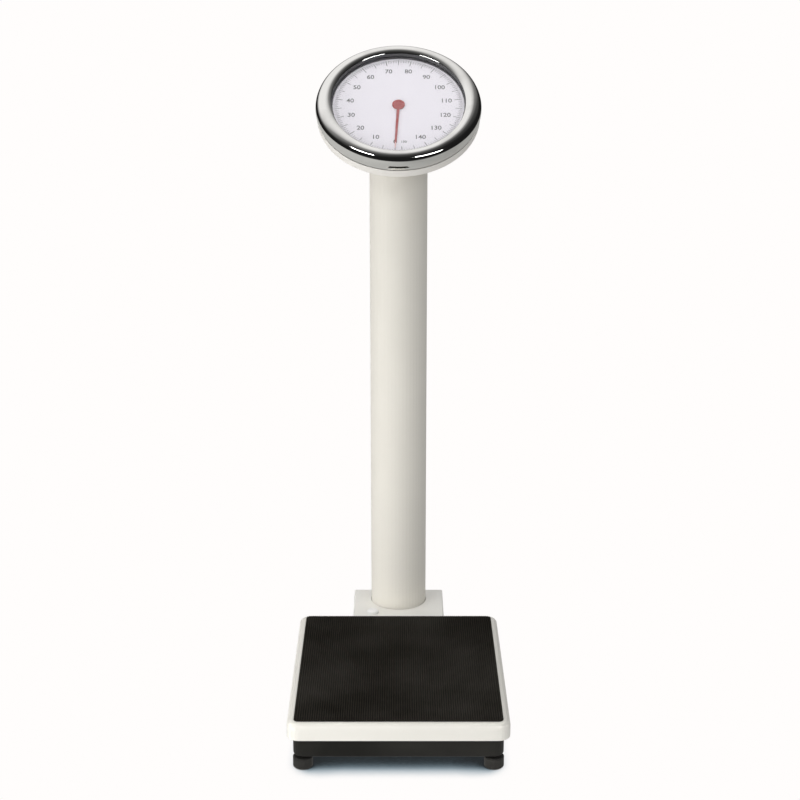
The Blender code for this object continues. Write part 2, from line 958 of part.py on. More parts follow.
def build_long_lever():
    tail = front_fulcrum_y - lever_tail
    bend = front_load_y + long_bend_run
    meet = link_y - long_meet_run
    end = nose_y + beam_nose_past
    beam = span(0, beam_half)
    lever = block("long_lever", cast_iron, beam, (meet - beam_lap, end), (arm_low, arm_high))
    taper_start = link_y + (nose_y - link_y) * beam_taper_share
    taper = outline(
        "beam_taper",
        cast_iron,
        [
            (taper_start, arm_low - cut_overrun),
            (taper_start, arm_low),
            (column_y - column_radius - lever_slot, beam_nose_low),
            (end + cut_overrun, beam_nose_low),
            (end + cut_overrun, arm_low - cut_overrun),
        ],
        -beam_half - cut_overrun,
        beam_half + cut_overrun,
        turn=side_on,
    )
    for side in (-1, 1):
        points = lever_arm_outline(side, tail, bend, meet, beam_half / 2)
        join(lever, outline("long_arm", cast_iron, points, arm_low, arm_high))
    spread = (bend - arm_width, bend)
    join(lever, block("spreader", cast_iron, span(0, arm_side), spread, (arm_low, arm_high)))
    step = block(
        "beam_step",
        cast_iron,
        span(0, beam_half + cut_overrun),
        (front_load_y + beam_high_share * (nose_y - front_load_y), end + cut_overrun),
        (beam_rear_high, arm_high + cut_overrun),
    )
    cut(lever, taper, step)
    for y, edge_up in ((front_fulcrum_y, False), (front_load_y, True)):
        cut(lever, knife_socket(y, span(0, knife_reach + cut_overrun), edge_up))
    cut(lever, knife_socket(nose_y, span(0, nose_knife_half + cut_overrun), False, nose_edge))
    pin_hole = rod(
        "pin_hole",
        cast_iron,
        crossbar_radius + pin_play,
        -beam_half - cut_overrun,
        beam_half + cut_overrun,
        tiny_steps,
        at=(0, link_y, link_pin_level),
        turn=crosswise,
    )
    cut(lever, pin_hole)
    ear = block(
        "trim_ear",
        cast_iron,
        (nut_arm_end - ear_half - ear_half, 0),
        span(knob_y, ear_half),
        (ear_low, ear_low + ear_thickness),
    )
    join(lever, ear)
    knife("front_fulcrum_knife", front_fulcrum_y, span(0, knife_reach), False)
    knife("front_load_knife", front_load_y, span(0, knife_reach), True)
    knife("nose_knife", nose_y, span(0, nose_knife_half), False, nose_edge)


def build_short_lever():
    tail = rear_fulcrum_y + lever_tail
    bend = rear_load_y - short_bend_run
    meet = link_y + short_meet_run
    tip = link_y - short_tip_run
    half = arm_width / 2
    lever = rod(
        "short_lever",
        cast_iron,
        crossbar_radius,
        -short_nose_half - half / 2,
        short_nose_half + half / 2,
        tiny_steps,
        at=(0, link_y, crossbar_level),
        turn=crosswise,
    )
    for side in (-1, 1):
        points = lever_arm_outline(side, tail, bend, meet, short_nose_half)
        finger = [(side * (short_nose_half + half), meet), (side * (short_nose_half + half), tip)]
        finger += [(side * (short_nose_half - half), tip), (side * (short_nose_half - half), meet)]
        points = points[:3] + finger[1:3] + points[3:]
        join(lever, outline("short_arm", cast_iron, points, short_low, arm_high))
        for y, edge_up in ((rear_fulcrum_y, False), (rear_load_y, True)):
            limits = sorted((side * (arm_side - arm_width), side * (knife_reach + cut_overrun)))
            cut(lever, knife_socket(y, limits, edge_up))
    for name, side in (("left", -1), ("right", 1)):
        limits = sorted((side * (arm_side - arm_width / 2), side * knife_reach))
        knife("rear_fulcrum_knife_" + name, rear_fulcrum_y, limits, False)
        knife("rear_load_knife_" + name, rear_load_y, limits, True)


def build_link():
    """The shackle that hangs the short lever's crossbar from the long lever."""
    inner = beam_half + link_gap
    low = crossbar_level - link_width / 2 + crossbar_radius
    high = link_pin_level + link_width / 2 - crossbar_radius
    link = rod(
        "lever_link",
        plain_steel,
        crossbar_radius,
        -inner - link_sheet / 2,
        inner + link_sheet / 2,
        tiny_steps,
        at=(0, link_y, link_pin_level),
        turn=crosswise,
    )
    for side in (-1, 1):
        limits = sorted((side * inner, side * (inner + link_sheet)))
        join(link, block("link_cheek", plain_steel, limits, span(link_y, link_width / 2), (low, high)))
    hole = rod(
        "crossbar_hole",
        plain_steel,
        crossbar_radius + pin_play,
        -inner - link_sheet - cut_overrun,
        inner + link_sheet + cut_overrun,
        tiny_steps,
        at=(0, link_y, crossbar_level),
        turn=crosswise,
    )
    cut(link, hole)


# Draw rod and springs


def build_draw_rod():
    top_bar = nose_edge - seat_gap + stirrup_rise
    stirrup = block(
        "draw_stirrup",
        plain_steel,
        span(0, stirrup_half),
        span(column_y, stirrup_depth / 2),
        (nose_edge - seat_gap - stirrup_sheet, top_bar + stirrup_sheet),
    )
    window = block(
        "stirrup_window",
        plain_steel,
        span(0, stirrup_half - stirrup_sheet),
        span(column_y, stirrup_depth),
        (nose_edge - seat_gap, top_bar),
    )
    at = (0, column_y, 0)
    hole = rod("stirrup_hole", plain_steel, rod_radius + seat_gap, 0, cover_top + stirrup_rise, at=at)
    low_bar = block(
        "stirrup_bar",
        plain_steel,
        span(0, stirrup_half - stirrup_sheet / 2),
        span(column_y, stirrup_depth / 2),
        (nose_edge - seat_gap - stirrup_sheet, nose_edge - seat_gap),
    )
    cut(stirrup, window, hole)
    join(stirrup, low_bar)
    head_high = top_bar - seat_gap
    yoke_high = yoke_level + yoke_thickness + seat_gap
    rod_top = eye_level - eye_half / 2
    profile = [
        (0, head_high - rod_head),
        (rod_head, head_high - rod_head),
        (rod_head, head_high),
        (rod_radius, head_high),
        (rod_radius, yoke_high),
        (rod_head, yoke_high),
        (rod_head, yoke_high + rod_head),
        (rod_radius, yoke_high + rod_head),
        (rod_radius, rod_top),
        (0, rod_top),
    ]
    draw_rod = turned("draw_rod", plain_steel, profile, tiny_steps, at=(0, column_y, 0))
    eye = block(
        "rod_eye",
        plain_steel,
        span(0, eye_width / 2),
        span(column_y, eye_half),
        span(eye_level, eye_half),
        frame=floor_frame,
    )
    join(draw_rod, eye)
    drift = crank_input * (1 - math.cos(crank_swing / 2))
    slot = block(
        "eye_slot",
        plain_steel,
        span(0, eye_width),
        (column_y - drift - input_pin_radius - loose_gap, column_y + input_pin_radius + loose_gap),
        span(eye_level, input_pin_radius + loose_gap),
    )
    cut(draw_rod, slot)
    yoke = block(
        "spring_yoke",
        plain_steel,
        span(0, yoke_half),
        span(column_y, yoke_depth / 2),
        (yoke_level, yoke_level + yoke_thickness),
    )
    at = (0, column_y, 0)
    bore = rod_radius + seat_gap
    cut(yoke, rod("yoke_hole", plain_steel, bore, yoke_level - yoke_thickness, anchor_level, at=at))


def coil(turns, radius, wire_radius, low, high, tail):
    """Points of a tension spring on the Z axis: a straight tail, a helix that swells and narrows, a tail."""
    body_low = low + tail
    body_high = high - tail
    count = turns * points_a_turn
    points = [(0, 0, low)]
    for index in range(count + 1):
        share = index / count
        swell = min(1.0, share * turns, (1 - share) * turns)
        angle = 2 * math.pi * turns * share
        reach = radius * math.sin(swell * math.pi / 2)
        level = body_low + (body_high - body_low) * share
        points.append((reach * math.cos(angle), reach * math.sin(angle), level))
    points.append((0, 0, high))
    gap = (body_high - body_low) / turns - 2 * wire_radius
    return points, gap


def build_springs():
    low = yoke_level + yoke_thickness + seat_gap
    high = anchor_level - seat_gap
    for name, side in (("left", -1), ("right", 1)):
        points, gap = coil(spring_turns, spring_coil, spring_wire / 2, low, high, spring_tail)
        places = [(x + side * spring_side, y + column_y, z) for x, y, z in points]
        wire("tension_spring_" + name, hard_steel, places, spring_wire / 2)
        print(f"tension_spring_{name}: {len(points)} points, gap between turns {gap * 1000:.2f} mm")
    half = math.sqrt((column_radius - column_wall) ** 2 - (anchor_depth / 2) ** 2) - seat_gap
    anchor = block(
        "spring_anchor",
        plain_steel,
        span(0, half),
        span(column_y, anchor_depth / 2),
        (anchor_level, anchor_level + anchor_thickness),
    )
    at = (0, column_y, 0)
    cut(anchor, rod("anchor_hole", plain_steel, rod_radius + loose_gap, yoke_level, head_z, at=at))


# Dial mechanism


def crank_points(half, length, angle):
    """One arm of the crank as a bar with a round end, along an angle, in Y and Z about the pivot."""
    end = arc(length, 0, half, -math.pi / 2, math.pi / 2, end_facets)
    bar = [(0, half), (0, -half)] + end
    c, s = math.cos(angle), math.sin(angle)
    return [(x * c - y * s, x * s + y * c) for x, y in bar]


def build_crank():
    """The crank in its own YZ plane. At rest it stands half its swing back from the middle position."""
    half_swing = crank_swing / 2
    low = crank_plane - crank_thickness / 2
    high = crank_plane + crank_thickness / 2
    place = (0, pivot_y, pivot_z)
    out_angle = math.pi / 2 + head_tilt
    slot_half = output_pin_radius + loose_gap
    slot_near = output_height - slot_half
    slot_far = output_height / math.cos(half_swing) + slot_half
    crank = turned(
        "bell_crank",
        brass,
        [
            (crank_pin_radius + seat_gap, low - seat_gap),
            (crank_hub, low - seat_gap),
            (crank_hub, high + seat_gap),
            (crank_pin_radius + seat_gap, high + seat_gap),
        ],
        small_steps,
        at=place,
        turn=crosswise,
    )
    for angle, length in ((0.0, crank_input), (out_angle, slot_far)):
        points = crank_points(crank_half, length, angle + half_swing)
        join(crank, outline("crank_arm", brass, points, low, high, at=place, turn=side_on))
    through = (low - cut_overrun, high + cut_overrun)
    bore = crank_pin_radius + seat_gap
    cut(crank, rod("crank_bore", brass, bore, *through, small_steps, at=place, turn=crosswise))
    reach = math.cos(half_swing) * crank_input
    rise = math.sin(half_swing) * crank_input
    pin = rod(
        "input_pin",
        brass,
        input_pin_radius,
        crank_plane,
        eye_width / 2 + seat_gap,
        tiny_steps,
        at=(0, pivot_y + reach, pivot_z + rise),
        turn=crosswise,
    )
    join(crank, pin)
    c, s = math.cos(out_angle + half_swing), math.sin(out_angle + half_swing)
    corners = [(slot_near, -slot_half), (slot_far, -slot_half), (slot_far, slot_half), (slot_near, slot_half)]
    slot = outline(
        "output_slot",
        brass,
        [(x * c - y * s, x * s + y * c) for x, y in corners],
        *through,
        at=place,
        turn=side_on,
    )
    cut(crank, slot)
    outer = crank_thickness / 2 + cheek_gap / 2 + cheek_thickness + loose_gap
    rod(
        "crank_pin",
        hard_steel,
        crank_pin_radius,
        crank_plane - outer,
        crank_plane + outer,
        small_steps,
        at=place,
        turn=crosswise,
    )


def build_crank_bracket():
    """Two cheeks on a strap: the strap lies on the head mount, the cheeks reach down to the crank's pin."""
    strap_low = pan_floor + seat_gap + mount_flange + seat_gap
    strap_high = strap_low + strap_thickness
    inner = crank_thickness / 2 + cheek_gap / 2
    outer = inner + cheek_thickness
    bracket = block(
        "crank_bracket",
        plain_steel,
        span(crank_plane, outer),
        (-strap_top_run, -strap_foot_run),
        (strap_low, strap_high),
        frame=dial_frame,
    )
    run = pivot_run
    points = [
        (-strap_foot_run - strap_thickness, strap_low),
        (-cheek_run, strap_low),
        (run - cheek_half, pivot_level - cheek_half),
        (run + cheek_shoulder, pivot_level - cheek_half),
        (run + cheek_half, pivot_level),
        (run + cheek_shoulder, strap_high),
        (-strap_foot_run - strap_thickness, strap_high),
    ]
    for side in (-1, 1):
        limits = sorted((crank_plane + side * inner, crank_plane + side * outer))
        cheek = outline("crank_cheek", plain_steel, points, limits[0], limits[1], dial_frame, turn=side_on)
        join(bracket, cheek)
    hole = rod(
        "cheek_hole",
        plain_steel,
        crank_pin_radius + running_gap,
        crank_plane - outer - cut_overrun,
        crank_plane + outer + cut_overrun,
        small_steps,
        dial_frame,
        at=(0, run, pivot_level),
        turn=crosswise,
    )
    cut(bracket, hole)


def involute(angle):
    return math.tan(angle) - angle


def gear_points():
    """Outline of the pinion: straight-sided approximations of involute teeth, thinned for backlash."""
    base = pitch_radius * math.cos(pressure_angle)
    tip = pitch_radius + tooth_module * addendum_share
    root = pitch_radius - tooth_module * dedendum_share
    half_pitch = math.pi * tooth_thickness_share / pinion_teeth
    points = []
    for tooth in range(pinion_teeth):
        middle = 2 * math.pi * tooth / pinion_teeth
        flank = []
        for radius in (root, pitch_radius, tip):
            open_angle = math.acos(min(1.0, base / max(radius, base)))
            half = half_pitch + involute(pressure_angle) - involute(open_angle)
            flank.append((radius, half))
        for radius, half in flank:
            points.append((radius * math.cos(middle - half), radius * math.sin(middle - half)))
        for radius, half in reversed(flank):
            points.append((radius * math.cos(middle + half), radius * math.sin(middle + half)))
    return points


def rack_points():
    """Outline of the rack in the dial's plane. Its teeth face +X and mesh with the pinion at rest."""
    step = math.pi * tooth_module
    pitch_x = -pitch_radius
    tip = pitch_x + tooth_module * addendum_share
    root = pitch_x - tooth_module * dedendum_share
    back = pitch_x - rack_back
    half_pitch = step * tooth_thickness_share / 2
    half_tip = half_pitch - tooth_module * addendum_share * math.tan(pressure_angle)
    half_root = half_pitch + tooth_module * dedendum_share * math.tan(pressure_angle)
    low = rack_pin_run - rack_tail
    high = rack_ahead
    first = math.ceil((rack_pin_run + rack_tail) / step)
    last = math.floor((high - half_root) / step)
    points = [(back, high), (back, low), (root, low)]
    for index in range(first, last):
        middle = (index + 0.5) * step
        points.append((root, middle - half_root))
        points.append((tip, middle - half_tip))
        points.append((tip, middle + half_tip))
        points.append((root, middle + half_root))
    points.append((root, high))
    return points


def build_rack():
    high = gear_level + gear_width - rack_inset
    rack = outline("rack", brass, rack_points(), gear_level + rack_inset, high, dial_frame)
    far = crank_plane - crank_thickness / 2 - loose_gap
    pin = rod(
        "rack_pin",
        brass,
        output_pin_radius,
        far,
        -pitch_radius - rack_back / 2,
        tiny_steps,
        dial_frame,
        at=(0, rack_pin_run, rack_pin_level),
        turn=crosswise,
    )
    join(rack, pin)


def build_pinion():
    gear = outline("pinion_shaft", brass, gear_points(), gear_level, gear_level + gear_width, dial_frame)
    low = bridge_level - bridge_thickness - shaft_radius
    join(gear, rod("shaft", brass, shaft_radius, low, shaft_top, tiny_steps, dial_frame))


def build_bridge():
    """A strap across the housing on bent legs. It carries the pinion's lower bearing and the rack guide."""
    floor = pan_floor + seat_gap + mount_flange + seat_gap
    top = bridge_level
    under = bridge_level - bridge_thickness
    leg = bridge_half
    foot_top = floor + bridge_thickness
    foot_end = leg + bridge_foot
    outside = leg + bridge_thickness
    points = [(-foot_end, floor), (-leg, floor), (-leg, under), (leg, under), (leg, floor), (foot_end, floor)]
    points += [(foot_end, foot_top), (outside, foot_top), (outside, top)]
    points += [(-outside, top), (-outside, foot_top), (-foot_end, foot_top)]
    bridge = outline(
        "mechanism_bridge", plain_steel, points, -bridge_high_run, -bridge_low_run, dial_frame, turn=front_on
    )
    bore = shaft_radius + running_gap
    cut(bridge, rod("shaft_bearing", plain_steel, bore, pan_floor, 0, tiny_steps, dial_frame))
    block(
        "rack_guide",
        brass,
        (-pitch_radius - rack_back - seat_gap - guide_width, -pitch_radius - rack_back - seat_gap),
        (guide_low_run, guide_high_run),
        (bridge_level + seat_gap, gear_level + gear_width),
        frame=dial_frame,
    )


def build_pointer():
    """A round hub on the shaft's end and one tapered hand, which points at zero when nothing is weighed."""
    top = hub_level + hub_thickness
    bore = shaft_radius + running_gap
    hub = turned(
        "pointer",
        pointer_red,
        [
            (0, hub_level),
            (hub_radius, hub_level),
            (hub_radius, top - hand_thickness),
            (hub_radius - hand_thickness, top),
            (0, top),
        ],
        small_steps,
        dial_frame,
    )
    neck = hand_length * hand_neck_share
    right = [(hand_tip, -hand_length), (hand_neck, -neck), (hand_root, 0)]
    left = [(-x, y) for x, y in reversed(right)]
    points = left + right
    zero_turn = -(math.pi - dial_span / 2)
    low = hub_level + hand_thickness / 2
    hand = outline(
        "hand", pointer_red, points, low, low + hand_thickness, dial_frame, turn=(0, 0, zero_turn)
    )
    join(hub, hand)
    limits = (hub_level - cut_overrun, shaft_top + seat_gap)
    cut(hub, rod("hub_bore", pointer_red, bore, *limits, tiny_steps, dial_frame))


# Zero knob


def build_zero_knob():
    base = bracket_top + seat_gap
    bore_top = base + spindle_bore
    bore = spindle_radius + running_gap
    at = (knob_x, knob_y, 0)
    profile = [
        (0, bore_top),
        (bore, bore_top),
        (bore, base),
        (knob_radius, base),
        (knob_radius, base + knob_height - knob_dome),
        (knob_radius * knob_shoulder_share, base + knob_height - knob_dome * knob_drop_share),
        (knob_radius * knob_top_share, base + knob_height),
        (0, base + knob_height),
    ]
    turned("zero_knob", knob_plastic, profile, small_steps, at=at)
    low = carrier_high + seat_gap
    rod("zero_spindle", plain_steel, spindle_radius, low, bore_top - seat_gap, tiny_steps, at=at)
    nut = block(
        "trim_nut",
        brass,
        span(knob_x, nut_side / 2),
        span(knob_y, nut_side / 2),
        (nut_level, nut_level + nut_thickness),
    )
    arm = block(
        "nut_arm",
        brass,
        (knob_x, nut_arm_end),
        span(knob_y, ear_half),
        (nut_level + nut_arm_step, nut_level + nut_thickness),
    )
    join(nut, arm)
    cut(nut, rod("nut_bore", brass, spindle_radius + running_gap, slot_top / 2, cover_top, tiny_steps, at=at))
    low = ear_low + ear_thickness + seat_gap
    high = nut_level + nut_arm_step - seat_gap
    points, gap = coil(trim_turns, trim_coil, trim_wire / 2, low, high, trim_wire)
    middle = nut_arm_end - ear_half
    wire("trim_spring", hard_steel, [(x + middle, y + knob_y, z) for x, y, z in points], trim_wire / 2)
    print(f"trim_spring: gap between turns {gap * 1000:.2f} mm")


def build_scale():
    build_cover()
    build_mat()
    build_frame()
    build_base()
    build_feet()
    build_bearings()
    build_carrier()
    build_bracket()
    build_socket()
    build_column()
    build_ring()
    build_housing()
    build_mount()
    build_dial()
    build_long_lever()
    build_short_lever()
    build_link()
    build_draw_rod()
    build_springs()
    build_crank()
    build_crank_bracket()
    build_rack()
    build_pinion()
    build_bridge()
    build_pointer()
    build_zero_knob()


build_scale()
print(f"lever angle {lever_angle:.5f} rad, rack travel {rack_travel * 1000:.3f} mm")
print(f"crank pivot at {pivot_y - overall_depth / 2:.5f}, {pivot_z:.5f}; depth {overall_depth:.5f}")
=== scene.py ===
# %% [markdown]
# # Dressing a mechanical column scale
#
# The scale comes in as a finished model of solid pieces: platform, levers, column, head and dial mechanism.
# This script keeps those shapes and gives them paint, rubber, chrome, glass, print and a studio to stand in.
# Loading comes first, because every later step puts its things where the loaded pieces say.

# %% Load the solid pieces
import math

import bpy
from mathutils import Matrix, Vector


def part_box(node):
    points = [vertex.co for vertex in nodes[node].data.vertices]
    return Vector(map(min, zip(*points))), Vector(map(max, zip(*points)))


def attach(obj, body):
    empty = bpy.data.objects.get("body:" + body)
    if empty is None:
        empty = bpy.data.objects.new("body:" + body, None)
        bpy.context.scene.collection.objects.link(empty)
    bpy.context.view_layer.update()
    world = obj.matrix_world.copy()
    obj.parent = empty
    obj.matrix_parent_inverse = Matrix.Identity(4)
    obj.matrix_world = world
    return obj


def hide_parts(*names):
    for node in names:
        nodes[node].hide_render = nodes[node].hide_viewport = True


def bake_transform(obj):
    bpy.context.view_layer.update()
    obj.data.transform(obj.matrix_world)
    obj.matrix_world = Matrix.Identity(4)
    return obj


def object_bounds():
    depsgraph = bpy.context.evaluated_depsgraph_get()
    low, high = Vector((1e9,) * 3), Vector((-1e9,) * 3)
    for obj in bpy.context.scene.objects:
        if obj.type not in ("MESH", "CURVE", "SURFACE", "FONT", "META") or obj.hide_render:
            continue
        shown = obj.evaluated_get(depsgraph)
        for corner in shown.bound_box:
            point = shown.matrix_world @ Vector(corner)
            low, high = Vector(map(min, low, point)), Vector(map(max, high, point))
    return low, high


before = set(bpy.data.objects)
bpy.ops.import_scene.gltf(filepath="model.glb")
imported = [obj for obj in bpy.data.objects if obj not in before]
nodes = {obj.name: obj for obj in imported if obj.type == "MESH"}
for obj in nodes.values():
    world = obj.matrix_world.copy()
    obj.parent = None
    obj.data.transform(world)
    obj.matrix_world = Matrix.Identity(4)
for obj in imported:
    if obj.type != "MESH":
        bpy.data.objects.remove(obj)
solid_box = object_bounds()
print("pieces loaded:", len(nodes))
print("overall box:", [[round(c, 4) for c in corner] for corner in solid_box])

# %% [markdown]
# ## Where things are
#
# Two places are needed again and again: the front of the platform, from which the photograph's distances
# were measured, and the dial's centre with its tilt. Both are plain numbers of the model, written once here.
# A small matrix turns a flat drawing of the dial (X across, Y up the dial, Z out of it) into the room.

# %% The platform's front and the dial's own frame
platform_low, platform_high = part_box("platform_cover")
front_y = platform_low[1]
dial_tilt = math.radians(38.0)
dial_behind_front = 0.4270
dial_height = 0.8982
dial_centre = Vector((0.0, front_y + dial_behind_front, dial_height))
dial_frame = Matrix.Translation(dial_centre) @ Matrix.Rotation(dial_tilt, 4, "X")
print(f"front at y = {front_y:.4f} m, dial centre at {[round(c, 4) for c in dial_centre]}")

# %% [markdown]
# ## Camera
#
# The photograph looks down a little at a tall, slim object, from about two metres away. A lens of 72 mm on a
# 36 mm film gives that perspective. The small vertical shift moves the picture the way a studio camera does
# when the column has to stay upright in the frame.

# %% Place the camera
camera_height = 1.201
camera_distance = 2.034
camera_pitch = math.radians(16.05)
picture_width = 800
axis_x = 398.5
axis_y = 360.0

bpy.ops.object.select_all(action="DESELECT")
bpy.ops.object.camera_add(
    location=(0.0, front_y - camera_distance, camera_height),
    rotation=(math.pi / 2 - camera_pitch, 0.0, 0.0),
)
camera = bpy.context.object
camera.name = "studio_camera"
camera.data.lens = 72.0
camera.data.sensor_width = 36.0
camera.data.shift_x = (picture_width / 2 - axis_x) / picture_width
camera.data.shift_y = (axis_y - picture_width / 2) / picture_width
camera.data.clip_end = 50.0
bpy.context.scene.camera = camera
bpy.context.scene.view_settings.view_transform = "Standard"
print(f"camera shift {camera.data.shift_x:.4f}, {camera.data.shift_y:.4f}")

# %% [markdown]
# ## Colour as the eye names it
#
# Colours are given as screen values from 0 to 255. Blender mixes light in linear values, so a helper
# turns the one into the other.

# %% Screen colours to light values
def tone(red, green, blue):
    """A screen colour as linear light, with full alpha."""
    values = []
    for part in (red, green, blue):
        share = part / 255
        values.append(share / 12.92 if share <= 0.04045 else ((share + 0.055) / 1.055) ** 2.4)
    return (*values, 1.0)


print("middle grey in light values:", [round(v, 3) for v in tone(128, 128, 128)])

# %% [markdown]
# ## Nodes by name
#
# A material is a small graph. These helpers add a node, set its values and join sockets, so that each
# material below reads as a short list of what it does.

# %% Helpers for node graphs
def add_node(tree, kind, **values):
    """Adds a node. Values whose name is a socket are set there, the others on the node itself."""
    node = tree.nodes.new(kind)
    for name, value in values.items():
        socket = name.replace("_", " ").title()
        if socket in node.inputs:
            node.inputs[socket].default_value = value
        else:
            setattr(node, name, value)
    return node


def join(tree, source, target):
    """Joins an output to an input."""
    tree.links.new(source, target)


def maths(tree, operation, first, second=None):
    """One arithmetic step. Each value is a number or another node's output."""
    node = tree.nodes.new("ShaderNodeMath")
    node.operation = operation
    for socket, value in zip(node.inputs, (first, second)):
        if value is None:
            continue
        if isinstance(value, (int, float)):
            socket.default_value = value
        else:
            tree.links.new(value, socket)
    return node.outputs[0]


def stretch(tree, value, low, high, new_low, new_high):
    """Maps a value from one span to another and holds it at the ends."""
    node = tree.nodes.new("ShaderNodeMapRange")
    tree.links.new(value, node.inputs["Value"])
    for name, number in (("From Min", low), ("From Max", high), ("To Min", new_low), ("To Max", new_high)):
        if isinstance(number, (int, float)):
            node.inputs[name].default_value = number
        else:
            tree.links.new(number, node.inputs[name])
    return node.outputs["Result"]


print("node helpers ready")

# %% Helpers that mix colours and shaders
def blend_colours(tree, share, first, second):
    """Mixes two colours by a share between 0 and 1."""
    node = tree.nodes.new("ShaderNodeMix")
    node.data_type = "RGBA"
    for socket, value in ((node.inputs[0], share), (node.inputs[6], first), (node.inputs[7], second)):
        if isinstance(value, (int, float, tuple)):
            socket.default_value = value
        else:
            tree.links.new(value, socket)
    return node.outputs[2]


def ramp(tree, value, steps):
    """Colours along a value: steps of (value, colour), blended between and held at the ends."""
    node = tree.nodes.new("ShaderNodeValToRGB")
    tree.links.new(value, node.inputs[0])
    stops = node.color_ramp.elements
    stops.remove(stops[1])
    stops[0].position, stops[0].color = steps[0]
    for place, colour in steps[1:]:
        stops.new(place).color = colour
    return node.outputs["Color"]


def mix_shaders(tree, share, first, second):
    """The first shader where the share is 0, the second where it is 1."""
    node = tree.nodes.new("ShaderNodeMixShader")
    for socket, source in zip(node.inputs, (share, first, second)):
        tree.links.new(source, socket)
    return node.outputs[0]


def ray_kinds(tree):
    """Two masks: seen by the eye, also through glass, and seen in a mirror."""
    rays = add_node(tree, "ShaderNodeLightPath").outputs
    by_eye = maths(tree, "MAXIMUM", rays["Is Camera Ray"], rays["Is Transmission Ray"])
    return by_eye, rays["Is Glossy Ray"]


print("mixing helpers ready")

# %% [markdown]
# ## The studio
#
# The object stands on a white sweep. Three things make the picture:
#
# - soft lamps at a plain level, one on the left a little stronger, so the round column darkens to the right;
# - two narrow soft boxes in front, which the polished ring shows as two bright dashes;
# - a dark room with a light ceiling, which only mirrors see. Chrome has no colour of its own: without a dark
#   room around it, it would vanish against the white background.

# %% The light of the room that mirrors see
ceiling_reach = 1.2
darkest_wall = 0.012
ceiling_fall = ((0.10, 0.015), (0.58, 0.07), (0.84, 0.26), (1.00, 0.76), (1.12, 1.00))

world = bpy.data.worlds.new("studio_room")
bpy.context.scene.world = world
world.use_nodes = True
room = world.node_tree
room.nodes.clear()

direction = add_node(room, "ShaderNodeTexCoord").outputs["Generated"]
parts = add_node(room, "ShaderNodeSeparateXYZ")
join(room, direction, parts.inputs[0])
across, depth, height = (parts.outputs[axis] for axis in "XYZ")

# The ceiling's light lies on the left and behind: this value grows towards it
to_left = maths(room, "MULTIPLY", across, -0.43)
to_back = maths(room, "MULTIPLY", depth, 0.66)
towards = maths(room, "ADD", maths(room, "ADD", to_left, to_back), height)
fall_steps = [(reach / ceiling_reach, (light, light, light, 1.0)) for reach, light in ceiling_fall]
fall = ramp(room, maths(room, "DIVIDE", towards, ceiling_reach), fall_steps)

# Towards the horizon the ceiling ends softly
above = add_node(room, "ShaderNodeMapRange", interpolation_type="SMOOTHSTEP")
join(room, height, above.inputs["Value"])
above.inputs["From Min"].default_value = 0.18
above.inputs["From Max"].default_value = 0.58
ceiling = maths(room, "MULTIPLY", fall, above.outputs["Result"])

# Below the horizon lies the pale floor, and straight behind the scale a patch of the white sweep
looks_down = stretch(room, height, math.sin(math.radians(-6)), math.sin(math.radians(-9)), 0.0, 1.0)
side_to_side = stretch(room, across, -0.9, 0.3, 0.62, 0.36)
ground = maths(room, "MULTIPLY", looks_down, side_to_side)
straight_behind = stretch(room, depth, 0.955, 0.985, 0.0, 1.0)
low_enough = stretch(room, height, 0.36, 0.30, 0.0, 1.0)
sweep = maths(room, "MULTIPLY", straight_behind, low_enough)
mirror_light = maths(room, "MAXIMUM", maths(room, "MAXIMUM", ceiling, ground), sweep)
mirror_light = maths(room, "MAXIMUM", mirror_light, darkest_wall)
print("nodes of the mirrors' light:", len(room.nodes))

# %% What paint, mirrors and eyes see of the room
room_white = tone(255, 253, 252)
paint_sees = add_node(room, "ShaderNodeBackground", color=tone(250, 251, 255), strength=0.30)
mirror_sees = add_node(room, "ShaderNodeBackground", color=room_white)
join(room, mirror_light, mirror_sees.inputs["Strength"])
eye_sees = add_node(room, "ShaderNodeBackground", color=room_white, strength=1.0)
by_eye, in_mirror = ray_kinds(room)
not_by_eye = mix_shaders(room, in_mirror, paint_sees.outputs[0], mirror_sees.outputs[0])
room_output = add_node(room, "ShaderNodeOutputWorld")
join(room, mix_shaders(room, by_eye, not_by_eye, eye_sees.outputs[0]), room_output.inputs["Surface"])
print("room nodes:", len(room.nodes))

# %% [markdown]
# The lamps are soft boxes: rectangles of light that face their target. A point lamp or a sun would light the
# paint too, but a mirror shows it as a dot, where a soft box shows as a bright dash. Mirrors see only the two
# boxes that are named for these dashes. The other four light the paint.

# %% Lamps
lamp_target = Vector((0.0, 0.05, 0.45))


def soft_lamp(name, place, target, width, length, power, roll=0.0, in_mirrors=True, spread=180):
    """A rectangular soft box that faces its target. A small spread, in degrees, keeps its light together."""
    bpy.ops.object.light_add(type="AREA", location=place)
    lamp = bpy.context.object
    lamp.name = name
    lamp.data.shape = "RECTANGLE"
    lamp.data.size = width
    lamp.data.size_y = length
    lamp.data.energy = power
    lamp.data.spread = math.radians(spread)
    look = (Vector(target) - Vector(place)).to_track_quat("-Z", "Y")
    lamp.rotation_euler = (look.to_matrix().to_4x4() @ Matrix.Rotation(roll, 4, "Z")).to_euler()
    lamp.visible_glossy = in_mirrors
    lamp.visible_camera = False
    return lamp


def around_head(turn, rise, reach):
    """A place seen from the dial: degrees to the right of the reader, degrees up, metres away."""
    turn, rise = math.radians(turn), math.radians(rise)
    away = Vector((math.sin(turn) * math.cos(rise), -math.cos(turn) * math.cos(rise), math.sin(rise)))
    return dial_centre + away * reach


